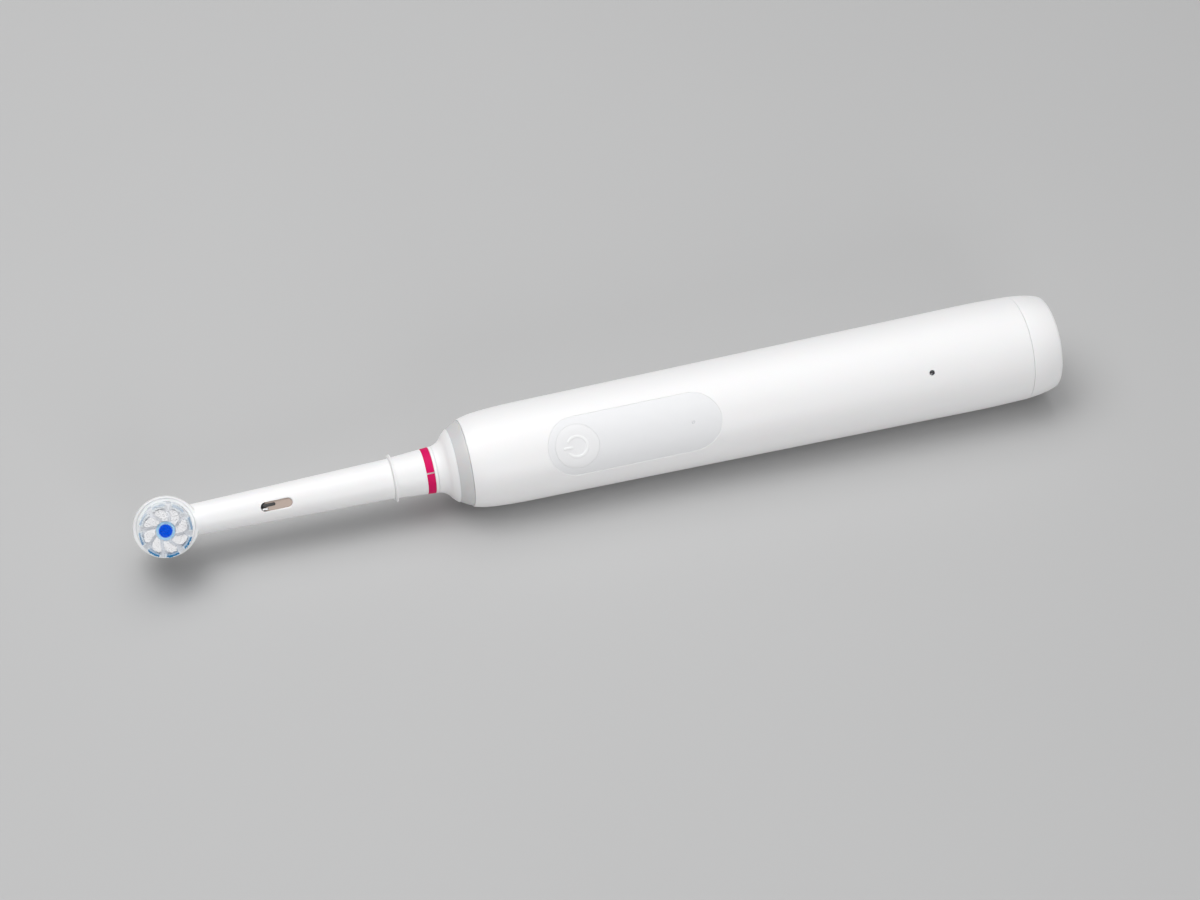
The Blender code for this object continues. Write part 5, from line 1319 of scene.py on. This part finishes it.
    def build_insert(self) -> None:
        """The tan insert that fills the slot but for a notch at its head end, a dark bar that paints the
        notch's shade, and the wire's end in that notch.
        """
        half = self.slot_width / 2 - 0.02
        rear = self.slot - self.slot_length / 2 + 0.03
        front = self.slot + self.slot_length / 2 - self.insert_gap
        turn = np.linspace(math.pi, math.tau, 25)
        along = np.concatenate([rear + half + half * np.sin(turn), np.linspace(rear + half, front, 17)[1:]])
        across = np.concatenate([half * np.cos(turn), np.full(16, half)])
        sides = np.concatenate([across, -across[:24:-1]])
        stations = np.concatenate([along, along[:24:-1]])
        middle = np.clip(stations, rear + half, front - 0.4)
        rings = []
        for share, drop in (
            (0.0, None), (1.0, None), (1.0, self.insert_edge), (0.95, 0.0), (0.7, 0.0), (0.35, 0.0),
            (0.0, 0.0),
        ):
            spot, y = middle + (stations - middle) * share, sides * share
            level = self.insert_foot + 0 * y if drop is None else self._skin(spot, y) - self.sink - drop
            rings.append(np.stack([spot, y, level], axis=-1))
        piece = self.shop.mesh("slot_insert", Sheet().grid(np.stack(rings), close_columns=True))
        self.shop.dress(piece, TAN, "refill", "gear_white")
        # painted shade: a dark bar where the notch beyond the insert lies in shade
        self._capsule("notch_painted_shade", (front - 0.95, 0.30), 1.25, 0.52, 0.20, DARK_PLASTIC, "dark_plastic")
        self._capsule("wire_end", (front + 0.05, -0.55), 0.55, 0.30, 0.28, STEEL, "steel")

    def _capsule(
        self,
        name: str,
        spot: tuple[float, float],
        reach: float,
        radius: float,
        proud: float,
        finish: Finish,
        slot: str,
    ) -> None:
        """A round-ended little bar that lies along the handle, half sunk in the insert.

        Args:
            name: the piece's name.
            spot: station and side of its middle.
            reach: half the distance between its round ends' centres.
            radius: its radius.
            proud: how far its top stands above the insert.
            finish: its look.
            slot: the record's material slot.
        """
        turn = np.linspace(0, math.pi, 17)
        places = -np.cos(turn) * radius + np.where(turn < math.pi / 2, -reach, reach)
        outline = np.stack([places, np.sin(turn) * radius], axis=1)
        outline[[0, -1], 1] = 0
        height = float(self._skin(*np.array(spot))) - self.sink + proud - radius
        piece = self.shop.lathe(name, outline, 20, Around.HANDLE, (*spot, height))
        self.shop.dress(piece, finish, "refill", slot)

    def build_base(self) -> None:
        """The flared insert with its thin lip, and the groove that holds the colour ring."""
        front, hole = self.lip_station, self.coupling
        groove_start, groove_end = self.ring_start - 0.02, self.ring_start + self.ring_width + 0.02
        groove = self.skirt_radius - self.ring_depth - 0.05
        outline = [
            (self.start, 4.5), (self.start, self.skirt_radius), (groove_start, self.skirt_radius - 0.03),
            (groove_start, groove), (groove_end, groove), (groove_end, self._skirt(groove_end)),
            (front - self.lip_thickness, self.tube_radius + 0.1), (front - self.lip_thickness, self.lip),
            (front - 0.3, self.lip), (front, self.lip - 0.45), (front, 3.7), (180.4, 3.7), (180.4, hole),
            (171.3, hole), (171.3, 4.5),
        ]
        piece = self.shop.lathe("flared_base", rounded(outline, 0.05, 3), 144)
        self.shop.dress(piece, WHITE_GLOSS, "refill", "gloss_white", "refill_base")

    def build_ring(self) -> None:
        """The split colour ring: a rounded section carried round, but for a slit on the front line."""
        start, end = self.ring_start, self.ring_start + self.ring_width
        inner = self.skirt_radius - self.ring_depth
        corners = [(start, inner), (start, self._skirt(start)), (end, self._skirt(end)), (end, inner)]
        section = rounded(corners, 0.10, 4)
        grid = turned(section, np.linspace(self.slit / 2, math.tau - self.slit / 2, 129))
        sheet = Sheet().grid(grid, close_rows=True)
        count = len(section)
        half = np.arange(count // 2 - 1)
        for column in (0, -1):
            sheet.add(grid[:, column], np.stack([half, half + 1, count - 2 - half, count - 1 - half], axis=1))
        self.shop.dress(self.shop.mesh("split_ring", sheet), MAGENTA, "refill", "magenta", "colour_ring")


@dataclass(frozen=True)
class Tuft:
    """One kind of bristles."""

    name: str
    nodes: tuple[str, ...]  # the CAD node that it stands for, or none
    slot: str
    finish: Finish  # the look, whose mark is the colour of the tips
    tip: float  # height of the tips above the handle's axis
    splay: float  # how far a tip strays, as a share of the bristle's length
    seed: int  # seed of the strays


@dataclass
class BrushHead:
    """The round carrier and its bristles: a centre tuft, petals with lower bristles between, and arcs."""

    shop: Workshop
    head: float = 228.9  # station of the head's centre
    carrier_low: float = 0.75  # height of the carrier's underside above the axis
    carrier_top: float = 2.75  # height of its floor, where the bristles are set
    carrier_radius: float = 7.02
    rim_height: float = 3.38  # height of its raised edge
    rim_inside: float = 6.32  # inner radius of that edge
    root: float = 2.5  # height where the bristles start
    pitch: float = 0.20  # distance between neighbouring bristles
    thickness: float = 0.113  # radius of a bristle
    centre: float = 2.2  # radius of the centre tuft
    core: float = 1.6  # radius of its dark middle
    petal_in: float = 2.45  # inner radius of the petals
    petal_out: float = 5.25  # outer radius of the petals
    petal_half: float = 0.62  # half of a petal's width at its inner end, and half of what it gains
    petal_turn: float = math.radians(20)  # how far a petal turns round the centre from end to end
    petal_start: float = math.radians(1)  # angle of the first petal
    count: int = 8  # number of petals, and of arcs
    arc_in: float = 5.42  # inner radius of the arcs
    arc_out: float = 6.25  # outer radius of the arcs
    arc_angle: float = math.radians(33)
    arc_start: float = math.radians(5.5)  # angle of the first arc's middle
    flare: float = 0.003  # outward lean as a share of the length, for each millimetre of radius
    lean: tuple[float, float] = (-0.062, 0.016)  # lean of all towards the handle and across it, as shares
    length_stray: float = 0.012  # how far lengths stray
    tone_stray: float = 0.04  # how far the tips' colours stray
    levels: tuple[float, ...] = (0.0, 0.45, 0.86, 0.998, 1.0)  # shares of the length where its rings lie
    tip_width: float = 0.97  # share of the thickness that the last ring has

    def build(self) -> None:
        """Makes and dresses the carrier and the tufts."""
        outline = rounded(
            [
                (self.carrier_low, 0), (self.carrier_low, self.carrier_radius),
                (self.rim_height, self.carrier_radius), (self.rim_height, self.rim_inside),
                (self.carrier_top, self.rim_inside - 0.1), (self.carrier_top, 0),
            ],
            0.06, 3, closed=False,
        )
        piece = self.shop.lathe("tuft_plate", outline, 128, Around.FRONT, (self.head, 0, 0))
        self.shop.dress(piece, CARRIER_WHITE_WITH_PAINTED_LIGHT, "brush_disc", "satin_white", "bristle_carrier")
        roots = self._lattice(7.0)
        radius = np.hypot(*roots.T)
        # 0 at the top of the head to 1 at its bottom; the arcs and the lower bristles are painted darker with
        # it, as shade
        lower = 0.5 - 0.5 * roots[:, 1] / self.arc_out
        centre, petal = radius < self.centre, self._petals(roots)
        arc, arc_blue_and_shade = self._arcs(roots, lower)
        between = (radius < self.arc_out) & ~centre & ~petal & ~arc
        core = smooth_step(self.core + 0.15, self.core - 0.15, radius)
        full = np.ones(len(roots))
        clear, blue = "clear_nylon", "blue_nylon"
        for kind, chosen, dark in (
            (Tuft("centre_bristles", ("centre_tuft",), blue, CENTRE_BLUE, 10.1, 0.004, 11), centre, core),
            (Tuft("petal_bristles", ("petal_tufts",), clear, PETAL_WHITE_AND_SHADE, 10.55, 0.004, 23), petal, full),
            (Tuft("rim_bristles", ("rim_tufts",), blue, RIM_BLUE, 10.55, 0.004, 37), arc, arc_blue_and_shade),
            # painted shade: the lower bristles take less of the white mark the lower they lie, so the gaps
            # between the petals show grey
            (Tuft("lower_bristles", (), clear, PETAL_WHITE_AND_SHADE, 9.85, 0.003, 29), between, 0.65 - 0.55 * lower),
        ):
            self._tuft(kind, roots[chosen], dark[chosen])

    def _lattice(self, reach: float) -> Array:
        """Places on a triangular lattice: every other row is shifted by half a pitch.

        Args:
            reach: how far the lattice reaches at least.

        Returns:
            Two distances from the head's centre for each place.
        """
        rows = int(reach / self.pitch) + 2
        row, column = np.meshgrid(np.arange(-rows, rows + 1), np.arange(-rows, rows + 1), indexing="ij")
        along = (column + 0.5 * (row % 2)) * self.pitch
        across = row * self.pitch * math.sqrt(3) / 2
        return np.stack([along.ravel(), across.ravel()], axis=1)

    def _off(self, roots: Array, start: Array | float) -> Array:
        """Angle between each place and the nearest of as many even lines as there are petals."""
        turn = (np.arctan2(roots[:, 1], roots[:, 0]) - start) * self.count / math.tau
        return np.abs(turn - np.round(turn)) * math.tau / self.count

    def _petals(self, roots: Array) -> Array:
        """Whether each place is in a petal: near a curved spoke whose width grows and closes again.

        Args:
            roots: the places.

        Returns:
            One answer for each place.
        """
        radius = np.hypot(*roots.T)
        share = (radius - self.petal_in) / (self.petal_out - self.petal_in)
        off = self._off(roots, self.petal_start + self.petal_turn * (share - 0.5)) * radius
        half = self.petal_half * (1 + smooth_step(0.0, 0.75, share) - smooth_step(0.78, 1.0, share))
        return (share > 0) & (share < 1) & (off < half)

    def _arcs(self, roots: Array, lower: Array) -> tuple[Array, Array]:
        """Whether each place is in an arc, and how much of the blue mark it takes: the tufts' own blue,
        deepened below and in a line at the outer edge as painted shade, less at the ends.

        Args:
            roots: the places.
            lower: how far below each is, from 0 to 1.

        Returns:
            Both, for each place.
        """
        radius, off = np.hypot(*roots.T), self._off(roots, self.arc_start)
        # painted shade: darker lower down, and in a thin line at the outer edge by the gap to the rim
        dark = 0.04 + 0.60 * np.maximum(lower, 0) ** 1.5
        dark += (0.20 + 0.46 * lower) * smooth_step(self.arc_out - 0.45, self.arc_out - 0.30, radius)
        dark *= smooth_step(0.5 * self.arc_angle, 0.38 * self.arc_angle, off)
        return (radius > self.arc_in) & (radius < self.arc_out) & (off < self.arc_angle / 2), dark

    def _tuft(self, kind: Tuft, roots: Array, dark: Array) -> None:
        """Bristles on their roots: six-sided, slightly splayed, each with a flat tip.

        A bristle bends by its lean times the share of its length, raised to the power 1.6.

        Args:
            kind: what they have in common.
            roots: two distances from the head's centre for each bristle.
            dark: how much of the mark's colour each bristle's tip takes.
        """
        chance = np.random.default_rng(kind.seed)
        count, rings, corners = len(roots), len(self.levels), 6
        length = kind.tip - self.root - np.abs(chance.normal(0, self.length_stray, count))
        lean = chance.normal(0, kind.splay, (count, 2)) + roots * self.flare + self.lean
        levels = np.array(self.levels)
        widths = np.array([*np.ones(rings - 1), self.tip_width])
        angles = (np.arange(corners) + 0.5) * math.tau / corners
        bend = (levels[None, :, None] ** 1.6) * lean[:, None, :] * length[:, None, None]
        ring = self.thickness * widths[None, :, None, None] * np.stack([np.cos(angles), np.sin(angles)], -1)
        flat = (roots[:, None, :] + bend)[:, :, None, :] + ring
        height = np.broadcast_to((self.root + length[:, None] * levels)[..., None], flat.shape[:3])
        points = np.stack([self.head - flat[..., 0], flat[..., 1], height], axis=-1)
        foot = np.array([[0, 3, 2, 1], [0, 5, 4, 3]])
        tip = np.array([[0, 1, 2, 3], [0, 3, 4, 5]]) + corners * (rings - 1)
        one = np.concatenate([grid_faces(rings, corners, close_columns=True), foot, tip])
        faces = (one[None] + (np.arange(count) * corners * rings)[:, None, None]).reshape(-1, 4)
        tone = np.clip(dark * chance.normal(1.0, self.tone_stray, count), 0, 1)
        rise = smooth_step(0.3, 0.9, levels)
        mark = np.broadcast_to(tone[:, None, None] * rise[None, :, None], height.shape)
        piece = self.shop.mesh(kind.name, Sheet().add(points, faces), merge=False, mark=mark.ravel())
        piece.data.shade_smooth()  # all round, so that the six sides don't show
        self.shop.dress(piece, kind.finish, "brush_disc", kind.slot, *kind.nodes)


@dataclass(frozen=True)
class Inside:
    """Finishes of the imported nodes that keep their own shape."""

    paints: Paintbox

    def build(self, nodes: dict[str, bpy.types.Object]) -> None:
        """Dresses every listed node.

        Args:
            nodes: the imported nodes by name.
        """
        looks = {
            STEEL: (
                "head_pin", "crank_rod", "drive_shaft", "gear_axle", "motor_can", "motor_shaft",
                "battery_tab_rear", "battery_tab_front",
            ),
            DARK_STEEL: ("rocker_arm", "motor_screw_left", "motor_screw_right"),
            BRONZE: ("rear_bearing", "front_bearing", "pinion"),
            COPPER: ("charging_coil", "armature"),
            BLACK_RUBBER: ("shaft_seal", "motor_end_cap"),
            DARK_PLASTIC: ("switch_body", "switch_plunger"),
            BOARD_GREEN: ("circuit_board",),
            CELL_WRAP: ("battery",),
            CHASSIS_BLUE: ("chassis",),
            ACETAL: ("rod_coupling", "crank_gear"),
            FERRITE: ("coil_bobbin", "motor_magnet_left", "motor_magnet_right"),
            DIODE: ("charge_led", "panel_led", "ring_led"),
        }
        for finish, names in looks.items():
            for name in names:
                slots = nodes[name].data.materials
                for index in range(len(slots)):
                    slots[index] = self.paints.material(finish)
                LOG.info("%s: dressed as %s", name, finish.name)


@dataclass(frozen=True)
class Lamp:
    """A soft square lamp that looks at the middle of the table."""

    name: str
    place: Triple  # where it hangs, in metres
    size: float  # length of its side, in metres
    power: float  # in watts

    def hang(self) -> None:
        """Puts the lamp into the scene."""
        light = bpy.data.lights.new(self.name, "AREA")
        light.energy, light.size = self.power, self.size
        lamp = bpy.data.objects.new(self.name, light)
        lamp.location = self.place
        lamp.rotation_euler = (-Vector(self.place)).to_track_quat("-Z", "Y").to_euler()
        bpy.context.scene.collection.objects.link(lamp)


@dataclass(frozen=True)
class Studio:
    """Grey table top, soft light from above, behind and in front, and the camera."""

    camera_place: Triple = (-0.14199, -0.48881, 0.55144)  # where the camera stands, in metres
    camera_forward: Triple = (0.18967, 0.65598, -0.73055)  # the direction it looks in
    camera_up: Triple = (0.19528, 0.70399, 0.68283)  # the direction that is up in the picture
    lens: float = 89.035  # focal length, on a sensor 36 mm wide
    table: float = 0.515  # linear grey of the table top
    table_stray: float = 0.015  # how far that grey strays to each side, as a share of it
    table_reach: float = 3.0  # half of the table top's side, in metres
    room: Triple = (0.97, 0.98, 1.0)  # colour of the light from all round
    ambient: float = 0.19  # its strength
    lamps: tuple[Lamp, ...] = (
        Lamp("key", (-0.30, 0.05, 0.82), 0.55, 2.42),
        Lamp("behind", (-0.05, 0.27, 0.84), 0.65, 1.94),
        Lamp("overhead", (0.0, 0.05, 0.80), 1.5, 4.36),
        Lamp("front", (0.05, -0.98, 0.25), 0.50, 3.05),
    )

    def build(self) -> None:
        """Sets the view, the camera, the table and the light."""
        scene = bpy.context.scene
        scene.view_settings.view_transform = "Standard"
        self.build_camera(scene)
        self.build_table()
        self.build_world(scene)
        for lamp in self.lamps:
            lamp.hang()

    def build_camera(self, scene: bpy.types.Scene) -> None:
        """The camera, turned by its forward and up directions.

        Args:
            scene: the scene that looks through it.
        """
        forward = Vector(self.camera_forward).normalized()
        right = forward.cross(Vector(self.camera_up)).normalized()
        lens = bpy.data.cameras.new("photo_view")
        lens.lens, lens.sensor_width, lens.clip_start = self.lens, 36, 0.01
        camera = bpy.data.objects.new("photo_view", lens)
        turn = Matrix((right, right.cross(forward), -forward)).transposed()
        camera.matrix_world = Matrix.Translation(self.camera_place) @ turn.to_4x4()
        scene.collection.objects.link(camera)
        scene.camera = camera

    def build_table(self) -> None:
        """A flat square with a faint, broad unevenness in its colour."""
        reach = self.table_reach
        data = bpy.data.meshes.new("table_top")
        corners = [(-reach, -reach, 0), (reach, -reach, 0), (reach, reach, 0), (-reach, reach, 0)]
        data.from_pydata(corners, [], [(0, 1, 2, 3)])
        table = bpy.data.objects.new("table_top", data)
        bpy.context.scene.collection.objects.link(table)
        material = bpy.data.materials.new("table_grey")
        material.use_nodes = True
        nodes = NodeTree(material.node_tree)
        dark, light = (
            (*[self.table * (1 + stray)] * 3, 1) for stray in (-self.table_stray, self.table_stray)
        )
        colour = nodes.mixed(nodes.noise(nodes.object_place(), 9, 2), dark, light)
        look = {"Base Color": colour, "Roughness": 0.75, "Specular IOR Level": 0.25}
        nodes.fill(material.node_tree.nodes["Principled BSDF"], look)
        data.materials.append(material)

    def build_world(self, scene: bpy.types.Scene) -> None:
        """An even, nearly white surrounding.

        Args:
            scene: the scene that it surrounds.
        """
        world = bpy.data.worlds.new("soft_room")
        world.use_nodes = True
        light = {"Color": (*self.room, 1), "Strength": self.ambient}
        NodeTree(world.node_tree).fill(world.node_tree.nodes["Background"], light)
        scene.world = world


def main() -> None:
    """Builds the studio and every sub-assembly."""
    logging.basicConfig(level=logging.INFO, format="%(name)s: %(message)s")
    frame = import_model()
    place = BrushFrame.from_joints(frame["joints"])
    shop = Workshop(place, Paintbox(place.pattern_turn()))
    form = HandleForm()
    Studio().build()
    round_handle = (Handle(shop, form), PushButton(shop, form), BaseEnd(shop, form), Nose(shop, form))
    for assembly in (*round_handle, Refill(shop), BrushHead(shop)):
        assembly.build()
    Inside(shop.paints).build(frame["nodes"])


if __name__ == "__main__":
    main()
